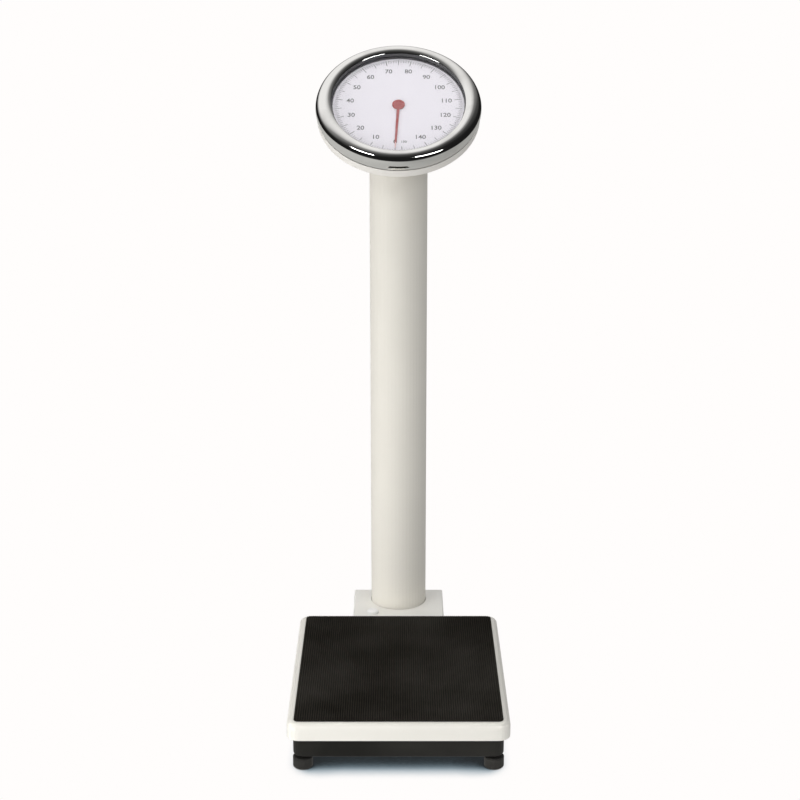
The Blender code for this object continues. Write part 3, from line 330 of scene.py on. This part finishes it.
soft_lamp("dash_left", around_head(-35, 32.5, 6.0), dial_centre, 2.20, 0.45, 36.0, math.radians(5))
soft_lamp("dash_right", around_head(30, 26, 6.0), dial_centre, 2.80, 0.55, 42.0, math.radians(-14))
soft_lamp("left_wall", (-2.2, -0.9, 0.6), lamp_target, 1.6, 1.6, 30.0, in_mirrors=False)
soft_lamp("front_fill", (0.6, -3.0, 0.45), (0.0, 0.05, 0.35), 2.4, 1.2, 13.5, in_mirrors=False)
soft_lamp("overhead", (0.0, 0.0, 3.2), lamp_target, 2.6, 2.6, 28.0, in_mirrors=False)
soft_lamp("low_left", (-1.5, -2.0, 0.5), (0.0, 0.15, 0.1), 0.8, 0.5, 0.75, in_mirrors=False, spread=40)

# %% [markdown]
# The floor is one large sheet. Paint is lit by a matt surface, and mirrors see a glowing pale paper, with a
# painted falloff of light that darkens it to the right; it ends about five metres in front. The eye sees
# the glowing white of a photographer's sweep with a painted shadow, darker only where the scale covers the
# floor from the light of the room. How much is covered comes from short test rays upward, and that painted
# shade is a little blue, as in the photograph.

# %% Lay the floor
bpy.ops.object.select_all(action="DESELECT")
bpy.ops.mesh.primitive_plane_add(size=24.0, location=(0.0, 0.0, 0.0))
floor = bpy.context.object
floor.name = "studio_floor"
print("floor size:", tuple(round(d, 2) for d in floor.dimensions))

# %% The shade round the feet
shadow_reach = 0.046
shadow_tones = (
    (0.15, tone(40, 43, 45)),
    (0.31, tone(95, 112, 121)),
    (0.64, tone(175, 187, 195)),
    (1.00, room_white),
)
floor_finish = bpy.data.materials.new("floor_sweep")
floor_finish.use_nodes = True
sheet = floor_finish.node_tree
sheet.nodes.clear()
# Painted shadow: short test rays set how dark the floor's glow is painted round the feet
open_share = add_node(sheet, "ShaderNodeAmbientOcclusion", samples=18).outputs["AO"]
open_share.node.inputs["Distance"].default_value = shadow_reach
openness = stretch(sheet, open_share, 0.27, 0.80, 0.07, 1.0)
shadow_tint = ramp(sheet, openness, shadow_tones)
floor_place = add_node(sheet, "ShaderNodeSeparateXYZ")
join(sheet, add_node(sheet, "ShaderNodeTexCoord").outputs["Object"], floor_place.inputs[0])
beside = maths(sheet, "SUBTRACT", maths(sheet, "ABSOLUTE", floor_place.outputs["X"]), solid_box[1][0])
away = stretch(sheet, beside, -0.030, 0.004, 0.0, 1.0)
sweep_glow_painted_shadow = add_node(sheet, "ShaderNodeEmission")
join(sheet, blend_colours(sheet, away, shadow_tint, room_white), sweep_glow_painted_shadow.inputs["Color"])
print("nodes of the floor's shade:", len(sheet.nodes))

# %% What paint, mirrors and eyes see of the floor
matt = add_node(sheet, "ShaderNodeBsdfDiffuse", color=tone(240, 240, 240))
mirrored = add_node(sheet, "ShaderNodeEmission", color=tone(254, 253, 249))
# Painted light: the paper that mirrors see glows darker towards the right
side_light = stretch(sheet, floor_place.outputs["X"], -0.8, 0.8, 0.60, 0.42)
paper_end = stretch(sheet, floor_place.outputs["Y"], -6.2, -4.6, 0.14, 1.0)
join(sheet, maths(sheet, "MULTIPLY", side_light, paper_end), mirrored.inputs["Strength"])
by_eye, in_mirror = ray_kinds(sheet)
not_by_eye = mix_shaders(sheet, in_mirror, matt.outputs[0], mirrored.outputs[0])
floor_output = add_node(sheet, "ShaderNodeOutputMaterial")
join(sheet, mix_shaders(sheet, by_eye, not_by_eye, sweep_glow_painted_shadow.outputs[0]), floor_output.inputs["Surface"])
floor.data.materials.append(floor_finish)
print("floor nodes:", len(sheet.nodes))

# %% [markdown]
# ## Shared effects
#
# Paint, rubber and metal are never quite even. Three node groups hold the effects that several finishes
# share, each built once: an uneven skin (orange peel on paint, grain on rubber), a worn polish (fine hair
# scratches on metal) and settled dust. Every size is in metres on the object, so the grain stays true.

# %% A helper that opens a node group
def open_group(name, inputs, outputs):
    """Makes a shader group with named inputs (name, kind, value) and outputs (name, kind)."""
    group = bpy.data.node_groups.new(name, "ShaderNodeTree")
    for label, kind, value in inputs:
        socket = group.interface.new_socket(name=label, in_out="INPUT", socket_type=kind)
        socket.default_value = value
    for label, kind in outputs:
        group.interface.new_socket(name=label, in_out="OUTPUT", socket_type=kind)
    entry = group.nodes.new("NodeGroupInput")
    leave = group.nodes.new("NodeGroupOutput")
    return group, entry.outputs, leave.inputs


number = "NodeSocketFloat"
shade = "NodeSocketColor"
arrow = "NodeSocketVector"


def noise_at(tree, place, scale, detail=2.0, roughness=0.5):
    """Cloudy noise. The scale is a number of cells in a metre."""
    node = add_node(tree, "ShaderNodeTexNoise", detail=detail, roughness=roughness)
    join(tree, place, node.inputs["Vector"])
    if isinstance(scale, (int, float)):
        node.inputs["Scale"].default_value = scale
    else:
        join(tree, scale, node.inputs["Scale"])
    return node.outputs["Fac"]


print("group helper ready")

# %% Uneven skin: a slow change of tone, a fine grain in height and roughness
skin_group, given, made = open_group(
    "uneven_skin",
    [
        ("Colour", shade, (0.8, 0.8, 0.8, 1.0)),
        ("Tone Change", number, 0.03),
        ("Roughness", number, 0.4),
        ("Roughness Change", number, 0.06),
        ("Grain Scale", number, 700.0),
        ("Grain Depth", number, 0.00003),
    ],
    [("Colour", shade), ("Roughness", number), ("Normal", arrow)],
)
place = add_node(skin_group, "ShaderNodeTexCoord").outputs["Object"]
clouds = noise_at(skin_group, place, 9.0, 3.0)
grain = noise_at(skin_group, place, given["Grain Scale"], 3.0, 0.6)
smears = noise_at(skin_group, place, 38.0, 4.0, 0.6)
darker = blend_colours(skin_group, given["Tone Change"], given["Colour"], (0.35, 0.33, 0.29, 1.0))
cloud_share = stretch(skin_group, clouds, 0.35, 0.68, 0.0, 1.0)
join(skin_group, blend_colours(skin_group, cloud_share, given["Colour"], darker), made["Colour"])
smear_share = stretch(skin_group, smears, 0.3, 0.7, -1.0, 1.0)
rough_shift = maths(skin_group, "MULTIPLY", smear_share, given["Roughness Change"])
join(skin_group, maths(skin_group, "ADD", given["Roughness"], rough_shift), made["Roughness"])
bump = add_node(skin_group, "ShaderNodeBump", strength=1.0)
join(skin_group, given["Grain Depth"], bump.inputs["Distance"])
join(skin_group, grain, bump.inputs["Height"])
join(skin_group, bump.outputs["Normal"], made["Normal"])
print("uneven_skin:", len(skin_group.nodes), "nodes")

# %% [markdown]
# Polished metal is never a perfect mirror. Wiping leaves hair scratches that run mostly one way. They could
# be painted on a picture, but noise that is stretched along one direction gives them at any size. The same
# noise shifts the gloss, and a slower one dulls the colour in places.

# %% Worn polish: hair scratches that run one way, and a slow change of tone
polish_group, given, made = open_group(
    "worn_polish",
    [
        ("Colour", shade, (0.6, 0.6, 0.6, 1.0)),
        ("Roughness", number, 0.2),
        ("Roughness Change", number, 0.05),
        ("Hair Scale", number, 900.0),
        ("Hair Depth", number, 0.000004),
        ("Stretch", arrow, (1.0, 1.0, 0.05)),
    ],
    [("Colour", shade), ("Roughness", number), ("Normal", arrow)],
)
place = add_node(polish_group, "ShaderNodeTexCoord").outputs["Object"]
long_place = add_node(polish_group, "ShaderNodeVectorMath", operation="MULTIPLY")
join(polish_group, place, long_place.inputs[0])
join(polish_group, given["Stretch"], long_place.inputs[1])
hairs = noise_at(polish_group, long_place.outputs[0], given["Hair Scale"], 4.0, 0.7)
clouds = noise_at(polish_group, place, 24.0, 3.0)
dull = blend_colours(polish_group, 0.18, given["Colour"], (0.12, 0.11, 0.10, 1.0))
dull_share = stretch(polish_group, clouds, 0.5, 0.75, 0.0, 1.0)
join(polish_group, blend_colours(polish_group, dull_share, given["Colour"], dull), made["Colour"])
hair_share = stretch(polish_group, hairs, 0.3, 0.7, -1.0, 1.0)
gloss_shift = maths(polish_group, "MULTIPLY", hair_share, given["Roughness Change"])
join(polish_group, maths(polish_group, "ADD", given["Roughness"], gloss_shift), made["Roughness"])
bump = add_node(polish_group, "ShaderNodeBump", strength=1.0)
join(polish_group, given["Hair Depth"], bump.inputs["Distance"])
join(polish_group, hairs, bump.inputs["Height"])
join(polish_group, bump.outputs["Normal"], made["Normal"])
print("worn_polish:", len(polish_group.nodes), "nodes")

# %% [markdown]
# Dust settles on what looks up and never underneath, so its mask is the upward part of the surface's
# direction. Fine specks and slow drifts break it up. Where it lies, the colour turns grey and the gloss goes.

# %% Settled dust: paler and duller where a face looks up
dust_group, given, made = open_group(
    "settled_dust",
    [
        ("Colour", shade, (0.8, 0.8, 0.8, 1.0)),
        ("Roughness", number, 0.5),
        ("Dust Colour", shade, tone(150, 146, 138)),
        ("Amount", number, 0.1),
    ],
    [("Colour", shade), ("Roughness", number)],
)
place = add_node(dust_group, "ShaderNodeTexCoord").outputs["Object"]
facing = add_node(dust_group, "ShaderNodeSeparateXYZ")
join(dust_group, add_node(dust_group, "ShaderNodeNewGeometry").outputs["Normal"], facing.inputs[0])
upward = stretch(dust_group, facing.outputs["Z"], 0.55, 0.98, 0.0, 1.0)
specks = noise_at(dust_group, place, 420.0, 5.0, 0.75)
drifts = noise_at(dust_group, place, 14.0, 3.0)
speck_share = stretch(dust_group, specks, 0.42, 0.7, 0.0, 1.0)
drift_share = stretch(dust_group, drifts, 0.3, 0.7, 0.35, 1.0)
patches = maths(dust_group, "MULTIPLY", speck_share, drift_share)
share = maths(dust_group, "MULTIPLY", maths(dust_group, "MULTIPLY", patches, upward), given["Amount"])
join(dust_group, blend_colours(dust_group, share, given["Colour"], given["Dust Colour"]), made["Colour"])
duller = maths(dust_group, "MULTIPLY", share, 0.4)
join(dust_group, maths(dust_group, "ADD", given["Roughness"], duller), made["Roughness"])
print("settled_dust:", len(dust_group.nodes), "nodes")

# %% [markdown]
# ## Finishes
#
# Each finish is a short chain: a shared effect, sometimes dust over it, and the Principled shader. What is
# the same all over a surface, such as metallic or coat, is set on the shader itself.

# %% Helpers that fill a material
def new_finish(name):
    """An empty material with its Principled shader."""
    finish = bpy.data.materials.new(name)
    finish.use_nodes = True
    return finish, finish.node_tree, finish.node_tree.nodes["Principled BSDF"]


def place_group(tree, group, values):
    """Places a shared effect in a material, with its own values."""
    node = tree.nodes.new("ShaderNodeGroup")
    node.node_tree = group
    for name, value in values.items():
        node.inputs[name].default_value = value
    return node


def fix_values(shader, values):
    """Sets what is the same all over a surface. Names are the shader's sockets, with _ for spaces."""
    for name, value in values.items():
        shader.inputs[name.replace("_", " ").title().replace("Ior", "IOR")].default_value = value


def wire(tree, effect, shader):
    """Joins the colour, roughness and normal of an effect to the shader."""
    for output, socket in (("Colour", "Base Color"), ("Roughness", "Roughness"), ("Normal", "Normal")):
        join(tree, effect.outputs[output], shader.inputs[socket])


print("material helpers ready")

# %% Two makers of finishes, and one that puts them on
def skinned(name, colour, roughness, grain, depth, change=0.04, gloss_change=0.06, dust=0.0, **fixed):
    """Paint, rubber or plastic: an uneven skin with dust on faces that look up."""
    finish, tree, shader = new_finish(name)
    values = {"Colour": colour, "Tone Change": change, "Roughness": roughness}
    values.update({"Roughness Change": gloss_change, "Grain Scale": grain, "Grain Depth": depth})
    skin = place_group(tree, skin_group, values)
    dusty = place_group(tree, dust_group, {"Amount": dust})
    join(tree, skin.outputs["Colour"], dusty.inputs["Colour"])
    join(tree, skin.outputs["Roughness"], dusty.inputs["Roughness"])
    join(tree, dusty.outputs["Colour"], shader.inputs["Base Color"])
    join(tree, dusty.outputs["Roughness"], shader.inputs["Roughness"])
    join(tree, skin.outputs["Normal"], shader.inputs["Normal"])
    fix_values(shader, fixed)
    return finish


def polished(name, colour, roughness, change, hair_scale, hair_depth, along):
    """Bare metal: hair scratches that run along the given directions."""
    finish, tree, shader = new_finish(name)
    values = {"Colour": colour, "Roughness": roughness, "Roughness Change": change}
    values.update({"Hair Scale": hair_scale, "Hair Depth": hair_depth, "Stretch": along})
    polish = place_group(tree, polish_group, values)
    wire(tree, polish, shader)
    shader.inputs["Metallic"].default_value = 1.0
    return finish


def wear(names, finish):
    """Gives a finish to loaded pieces."""
    for name in names:
        mesh = nodes[name].data
        mesh.materials.clear()
        mesh.materials.append(finish)
    print(f"{finish.name}: {', '.join(names)}")


print("finish makers ready")

# %% [markdown]
# The sheet metal is painted a warm white, semi-gloss, with the faint orange peel of sprayed paint. The
# column's paint is a shade greyer and duller than the platform's. The bracket's is the whitest: a lighter
# copy of the white paint, painted light for the light that it lacks. The tray under the platform is satin
# black.

# %% Paints
sprayed = {"grain": 620.0, "depth": 0.000010, "coat_weight": 0.2}
white_paint = skinned("warm_white_paint", tone(237, 234, 225), 0.34, dust=0.10, **sprayed)
pan_paint = skinned("head_white_paint", tone(232, 228, 221), 0.36, dust=0.04, **sprayed)
# Painted light: the bracket's white is lighter than the other paints, to make up for the light it lacks
bracket_paint_painted_light = skinned("bracket_white_painted_light", tone(253, 251, 244), 0.34, dust=0.08, **sprayed)
column_paint = skinned(
    "column_white_paint", tone(222, 218, 208), 0.46, 560.0, 0.000012, dust=0.05, specular_ior_level=0.3
)
black_paint = skinned(
    "tray_black_paint", tone(18, 17, 13), 0.50, 480.0, 0.000020, dust=0.04, specular_ior_level=0.35
)
wear(["platform_cover"], white_paint)
wear(["column_bracket"], bracket_paint_painted_light)
wear(["head_housing"], pan_paint)
wear(["column_tube"], column_paint)
wear(["base_pan", "column_carrier"], black_paint)

# %% [markdown]
# The mat is black ribbed rubber. The ribs are real in the model, and the finish adds the dull grain of
# rubber. Its colour follows the height in a rib: a painted highlight makes the crests paler and a painted
# shade makes the valleys darker. The feet are a plainer, harder rubber, and the glass lies on a grey
# sealing rubber.

# %% Rubbers
mat_rubber = skinned(
    "ribbed_mat_rubber", tone(8, 6, 3), 0.72, 1500.0, 0.000045,
    change=0.05, dust=0.02, specular_ior_level=0.06,
)
foot_rubber = skinned("foot_rubber", tone(19, 18, 16), 0.60, 900.0, 0.000035, change=0.08, dust=0.08)
gasket_rubber = skinned("gasket_rubber", tone(78, 78, 81), 0.60, 900.0, 0.000030, change=0.06)
mat_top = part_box("rubber_mat")[1][2]
rib_valley = mat_top - 0.0005
rib_crest = mat_top - 0.0001
tree = mat_rubber.node_tree
split = add_node(tree, "ShaderNodeSeparateXYZ")
join(tree, add_node(tree, "ShaderNodeTexCoord").outputs["Object"], split.inputs[0])
# Painted highlight and shade: the colour is paler on the rib crests and darker in the valleys
painted_crest_light = stretch(tree, split.outputs["Z"], rib_valley, rib_crest, 0.0, 1.0)
skin = next(node for node in tree.nodes if node.type == "GROUP" and node.node_tree == skin_group)
join(tree, blend_colours(tree, painted_crest_light, tone(7, 6, 4), tone(34, 31, 25)), skin.inputs["Colour"])
wear(["rubber_mat"], mat_rubber)
feet = ("front_left", "front_right", "rear_left", "rear_right")
wear(["foot_pad_" + corner for corner in feet], foot_rubber)
wear(["glass_gasket"], gasket_rubber)

# %% [markdown]
# The ring is polished chrome plate: almost a mirror, with hair scratches from wiping. The parts of the
# mechanism are turned brass, plated and hardened steel, and castings with a dull coat. The bare metals share
# one effect and differ in colour, in gloss and in the way that their scratches run.

# %% Metals
chrome = polished("ring_chrome", tone(232, 232, 230), 0.055, 0.02, 1400.0, 0.0000008, (1.0, 1.0, 0.2))
plated_steel = polished("plated_steel", tone(176, 176, 178), 0.32, 0.08, 900.0, 0.000006, (1.0, 1.0, 0.06))
hard_steel = polished("hardened_steel", tone(138, 139, 143), 0.24, 0.06, 1200.0, 0.000004, (0.06, 1.0, 1.0))
brass = polished("turned_brass", tone(206, 178, 112), 0.28, 0.07, 1000.0, 0.000005, (1.0, 1.0, 0.08))
casting = skinned(
    "coated_casting", tone(92, 94, 97), 0.55, 380.0, 0.00012, change=0.14, dust=0.10, metallic=0.4
)
wear(["bezel_ring"], chrome)
wear(["platform_frame", "lever_link", "draw_rod", "draw_stirrup", "spring_yoke"], plated_steel)
wear(["spring_anchor", "crank_bracket", "mechanism_bridge", "zero_spindle"], plated_steel)
knives = ["front_fulcrum_knife", "front_load_knife", "nose_knife"]
knives += [f"rear_{kind}_knife_{side}" for kind in ("fulcrum", "load") for side in ("left", "right")]
bearings = [f"bearing_{row}_{side}" for row in ("front", "rear") for side in ("left", "right")]
wear(knives + bearings + ["crank_pin", "trim_spring"], hard_steel)
wear(["bell_crank", "rack", "pinion_shaft", "rack_guide", "trim_nut"], brass)
wear(["long_lever", "short_lever", "column_socket", "head_mount"], casting)

# %% [markdown]
# The screw threads of the feet are too fine to be worth thousands of faces. Their turns repeat evenly up the
# stud, so a wave along Z, as high as a real thread is deep, gives the ridges in the light.

# %% Threaded steel
thread_pitch = 0.0015
thread_depth = 0.0007
threaded, tree, shader = new_finish("threaded_steel")
thread_polish = {"Colour": tone(168, 168, 170), "Roughness": 0.34, "Hair Scale": 800.0}
polish = place_group(tree, polish_group, thread_polish)
place = add_node(tree, "ShaderNodeTexCoord").outputs["Object"]
split = add_node(tree, "ShaderNodeSeparateXYZ")
join(tree, place, split.inputs[0])
turns = maths(tree, "MULTIPLY", split.outputs["Z"], 1.0 / thread_pitch)
ridge = maths(tree, "PINGPONG", turns, 0.5)
bump = add_node(tree, "ShaderNodeBump", strength=1.0, distance=thread_depth)
join(tree, ridge, bump.inputs["Height"])
join(tree, polish.outputs["Normal"], bump.inputs["Normal"])
wire(tree, polish, shader)
join(tree, bump.outputs["Normal"], shader.inputs["Normal"])
shader.inputs["Metallic"].default_value = 1.0
wear(["foot_stud_" + corner for corner in feet], threaded)

# %% [markdown]
# The dial is a printed plate: a matt white with a cool tint. The pointer is satin red, and its last
# centimetre is pale, so that the numbers under it can still be read. The paleness follows the distance from
# the dial's centre, which a Mapping node puts at zero. The zero knob is plain white plastic.

# %% Dial, pointer, knob
dial_print = skinned(
    "dial_print", tone(231, 227, 234), 0.52, 2200.0, 0.000004, change=0.015, gloss_change=0.04
)
wear(["dial_plate"], dial_print)
knob_plastic = skinned(
    "zero_knob_plastic", tone(252, 251, 248), 0.30, 800.0, 0.000006, change=0.03, dust=0.10
)
wear(["zero_knob"], knob_plastic)

pale_from = 0.0785
pale_to = 0.0800
pointer_red, tree, shader = new_finish("pointer_satin_red")
satin = {"Roughness": 0.38, "Tone Change": 0.05, "Grain Scale": 1500.0, "Grain Depth": 0.000004}
skin = place_group(tree, skin_group, satin)
place = add_node(tree, "ShaderNodeTexCoord").outputs["Object"]
centred = add_node(tree, "ShaderNodeMapping")
centred.inputs["Location"].default_value = -dial_centre
join(tree, place, centred.inputs["Vector"])
reach = add_node(tree, "ShaderNodeVectorMath", operation="LENGTH")
join(tree, centred.outputs[0], reach.inputs[0])
pale = stretch(tree, reach.outputs["Value"], pale_from, pale_to, 0.0, 1.0)
join(tree, blend_colours(tree, pale, tone(150, 6, 5), tone(222, 180, 180)), skin.inputs["Colour"])
wire(tree, skin, shader)
fix_values(shader, {"specular_ior_level": 0.2})
wear(["pointer"], pointer_red)

# %% [markdown]
# Clear glass lets lamp light through. Path tracing can't follow lamps through a bent ray, so the glass turns
# plainly transparent for shadow rays and for light from matt surfaces, and the dial under it is lit as in
# life. Faint smudges of hands change its gloss.

# %% Glass
clear_glass, tree, shader = new_finish("dial_clear_glass")
shader.inputs["Base Color"].default_value = (1.0, 1.0, 1.0, 1.0)
shader.inputs["Transmission Weight"].default_value = 1.0
shader.inputs["IOR"].default_value = 1.46
smudges = noise_at(tree, add_node(tree, "ShaderNodeTexCoord").outputs["Object"], 26.0, 5.0, 0.6)
join(tree, stretch(tree, smudges, 0.45, 0.75, 0.004, 0.022), shader.inputs["Roughness"])
open_way = add_node(tree, "ShaderNodeBsdfTransparent")
glass_rays = add_node(tree, "ShaderNodeLightPath")
passes = maths(tree, "MAXIMUM", glass_rays.outputs["Is Shadow Ray"], glass_rays.outputs["Is Diffuse Ray"])
glass_look = mix_shaders(tree, passes, shader.outputs[0], open_way.outputs[0])
join(tree, glass_look, tree.nodes["Material Output"].inputs["Surface"])
wear(["dial_glass"], clear_glass)

# %% [markdown]
# ## The chrome ring
#
# The ring is a strip of sheet metal that is rolled over a form, polished and plated. A mirror shows every
# facet of its surface, so this ring has more and smaller facets than the solid one. A torus is the nearest
# plain shape, and what lies beyond its foot and its lip is deleted. A turned profile would do as well, but
# the torus brings even faces at once.

# %% Values of the ring
roll_radius = 0.01567
roll_centre = 0.1115
roll_level = -0.0021
foot_angle = math.radians(-48.0)
lip_angle = math.radians(149.0)
inner_press = 0.97
wall_radius = 0.1030
wall_press = 0.35
strip_radius = wall_radius - 0.0001
sheet_thickness = 0.0012
facets_round = 192
facets_across = 112
crease_angle = math.radians(15)
print(f"the ring is {2000 * (roll_centre + roll_radius):.1f} mm across")

# %% Roll the strip
bpy.ops.object.select_all(action="DESELECT")
bpy.ops.mesh.primitive_torus_add(
    major_segments=facets_round,
    minor_segments=facets_across,
    major_radius=roll_centre,
    minor_radius=roll_radius,
)
ring = bpy.context.object
ring.name = "polished_ring"
bpy.ops.object.mode_set(mode="EDIT")
bpy.ops.mesh.select_mode(type="FACE")
bpy.ops.mesh.select_all(action="DESELECT")
bpy.ops.object.mode_set(mode="OBJECT")
for face in ring.data.polygons:
    across, along, up = face.center
    turn = math.atan2(up, math.hypot(across, along) - roll_centre)
    face.select = not foot_angle < turn < lip_angle
bpy.ops.object.mode_set(mode="EDIT")
bpy.ops.mesh.delete(type="FACE")
bpy.ops.object.mode_set(mode="OBJECT")
print("rolled strip:", len(ring.data.polygons), "faces")

# %% [markdown]
# On the inside, the roll ends in a steep wall round the glass, and the wall's faces nearest the middle take
# the dark grey rubber finish. The points there are pressed outwards, by their distance from the ring's
# middle. Then the sheet gets its thickness inwards, so that the outside keeps its size, and the ring goes to
# its place on the head.

# %% Press the wall and finish the ring
for corner in ring.data.vertices:
    out = math.hypot(corner.co.x, corner.co.y)
    if out < roll_centre:
        pressed = roll_centre - (roll_centre - out) * inner_press
        if pressed < wall_radius:
            pressed = wall_radius - (wall_radius - pressed) * wall_press
        corner.co.x *= pressed / out
        corner.co.y *= pressed / out
wall = ring.modifiers.new("sheet", "SOLIDIFY")
wall.thickness = sheet_thickness
wall.offset = -1.0
bpy.ops.object.modifier_apply(modifier=wall.name)
bpy.ops.object.shade_smooth_by_angle(angle=crease_angle)
for face in ring.data.polygons:
    face.material_index = 1 if math.hypot(face.center.x, face.center.y) < strip_radius else 0
ring.data.transform(dial_frame @ Matrix.Translation((0.0, 0.0, roll_level)))
ring.data.materials.append(chrome)
ring.data.materials.append(gasket_rubber)
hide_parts("bezel_ring")
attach(ring, "stand")
print("polished_ring:", len(ring.data.polygons), "faces")

# %% [markdown]
# ## Printed marks
#
# The dial has a mark for every half kilogram and a number for every ten, clockwise from the bottom. Each kind
# of mark is modelled once, as a thin block of ink, and copied round the dial. A picture on the plate would do
# from afar, but blocks keep sharp edges close up. The ink stands a tenth of a millimetre proud, so that it
# never flickers against the plate.

# %% Values of the scale print
kilogram_turn = math.radians(353.6 / 150)
zero_turn = -math.radians(176.8)
ink_height = 0.0001
ink_base = 0.00002
marks_outer = 0.0978

ink = skinned("dial_ink", tone(28, 26, 34), 0.55, 2500.0, 0.000003, change=0.08)
pale_ink = skinned("dial_pale_ink", tone(104, 102, 112), 0.55, 2500.0, 0.000003, change=0.08)


def turn_of(kilograms):
    """The clockwise turn from the top of the dial at which a load is shown."""
    return zero_turn + kilograms * kilogram_turn


print(f"one kilogram turns the pointer by {math.degrees(kilogram_turn):.3f} degrees")

# %% Helpers that model a mark and copy it round
def pick(objects):
    """Selects these objects and nothing else, with the first one active."""
    bpy.ops.object.select_all(action="DESELECT")
    for item in objects:
        item.select_set(True)
    bpy.context.view_layer.objects.active = objects[0]


def mark_block(name, length, width, finish):
    """A block of ink that points up the dial and ends at the outer circle of the marks."""
    bpy.ops.object.select_all(action="DESELECT")
    bpy.ops.mesh.primitive_cube_add(size=1.0)
    block = bpy.context.object
    block.name = name
    block.scale = (width, length, ink_height)
    block.location = (0.0, marks_outer - length / 2, ink_base + ink_height / 2)
    bpy.ops.object.transform_apply(location=True, rotation=False, scale=True)
    block.data.materials.append(finish)
    return block


def copies_round(block, turns, name):
    """Copies a mark to each turn of the dial and joins the copies into one piece in the room."""
    copies = []
    for turn in turns:
        copy = bpy.data.objects.new(name, block.data.copy())
        copy.data.transform(dial_frame @ Matrix.Rotation(-turn, 4, "Z"))
        bpy.context.scene.collection.objects.link(copy)
        copies.append(copy)
    pick(copies)
    bpy.ops.object.join()
    piece = bpy.context.object
    piece.name = name
    bpy.data.objects.remove(block)
    print(f"{name}: {len(turns)} marks, {len(piece.data.polygons)} faces")
    return piece


print("mark helpers ready")

# %% Print the marks
# Each kind: its name, length, width, ink and the loads that it marks
mark_kinds = (
    ("half_kilogram_marks", 0.0035, 0.00032, pale_ink, [step / 2 for step in range(301) if step % 2]),
    ("kilogram_marks", 0.0058, 0.00050, ink, [step for step in range(151) if step % 5]),
    ("five_kilogram_marks", 0.0105, 0.00070, ink, range(5, 150, 10)),
    ("ten_kilogram_marks", 0.0112, 0.00085, ink, range(0, 151, 10)),
)
printed = []
for name, length, width, finish, loads in mark_kinds:
    block = mark_block("model_for_" + name, length, width, finish)
    printed.append(copies_round(block, [turn_of(load) for load in loads], name))

# %% [markdown]
# Numbers are text, made a mesh and laid in the dial's frame. They all stand upright, with strokes a little
# bolder than the typeface has. The last one is small, because it shares the bottom of the dial with the zero.

# %% Numbers
number_height = 0.0084
small_height = 0.0044
numbers_radius = 0.0748
bottom_row = -0.0765
zero_across = -0.0049
last_across = 0.0084
stroke_growth = 0.012
weld_distance = 0.000002


def dial_number(words, across, up, tall, finish):
    """One printed number, centred at a place on the dial and as tall as asked."""
    bpy.ops.object.select_all(action="DESELECT")
    bpy.ops.object.text_add()
    text = bpy.context.object
    text.data.body = words
    # Any thickness does here, because the block is brought to the ink's height below
    text.data.extrude = 0.01
    text.data.offset = stroke_growth
    bpy.ops.object.convert(target="MESH")
    flat = bpy.context.object
    flat.name = "number_" + words
    corners = [Vector(c) for c in flat.bound_box]
    low = Vector([min(c[i] for c in corners) for i in range(3)])
    high = Vector([max(c[i] for c in corners) for i in range(3)])
    size = high - low
    share = tall / size.y
    flat.data.transform(Matrix.Translation(-(low + high) / 2))
    flat.data.transform(Matrix.Diagonal((share, share, ink_height / size.z, 1.0)))
    flat.data.transform(dial_frame @ Matrix.Translation((across, up, ink_base + ink_height / 2)))
    flat.data.materials.clear()
    flat.data.materials.append(finish)
    return flat


numbers = []
for kilograms in range(10, 150, 10):
    turn = turn_of(kilograms)
    across, up = numbers_radius * math.sin(turn), numbers_radius * math.cos(turn)
    numbers.append(dial_number(str(kilograms), across, up, number_height, ink))
numbers.append(dial_number("0", zero_across, bottom_row, number_height, ink))
numbers.append(dial_number("150", last_across, bottom_row, small_height, ink))

pick(numbers)
bpy.ops.object.join()
dial_numbers = bpy.context.object
dial_numbers.name = "dial_numbers"
bpy.ops.object.mode_set(mode="EDIT")
bpy.ops.mesh.select_all(action="SELECT")
bpy.ops.mesh.remove_doubles(threshold=weld_distance)
bpy.ops.mesh.normals_make_consistent(inside=False)
bpy.ops.object.mode_set(mode="OBJECT")
printed.append(dial_numbers)
for piece in printed:
    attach(piece, "stand")
print("dial_numbers:", len(dial_numbers.data.polygons), "faces")

# %% [markdown]
# ## The springs
#
# Two tension springs hang in the column. Their upper ends stay with the column and their lower ends go down
# with the draw rod, so a stiff copy would tear off at one end. Each coil is copied here as it is, with its
# points welded, smooth shading and hardened steel, and the solid spring is hidden. The copy does not
# stretch, and the body that the table names for its moving end is not used.
#
# The small spring under the trim nut is pressed together as the nut sinks. Its copy also stays as it is,
# with its foot held still, which is simpler than life: under load, the lever's ear that it stands on goes
# down with the lever.

# %% A smooth steel copy of each spring
moving_ends = {
    "tension_spring_left": "draw_rod",
    "tension_spring_right": "draw_rod",
    "trim_spring": "trim_nut",
}
wire_weld = 0.00001
wire_crease = math.radians(50)
for name, body in moving_ends.items():
    spring = bpy.data.objects.new("flexing_" + name, nodes[name].data.copy())
    bpy.context.scene.collection.objects.link(spring)
    pick([spring])
    bpy.ops.object.mode_set(mode="EDIT")
    bpy.ops.mesh.select_all(action="SELECT")
    bpy.ops.mesh.remove_doubles(threshold=wire_weld)
    bpy.ops.object.mode_set(mode="OBJECT")
    bpy.ops.object.shade_smooth_by_angle(angle=wire_crease)
    spring.data.materials.clear()
    spring.data.materials.append(hard_steel)
    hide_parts(name)
    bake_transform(spring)
    print(f"{spring.name}: {len(spring.data.polygons)} faces")
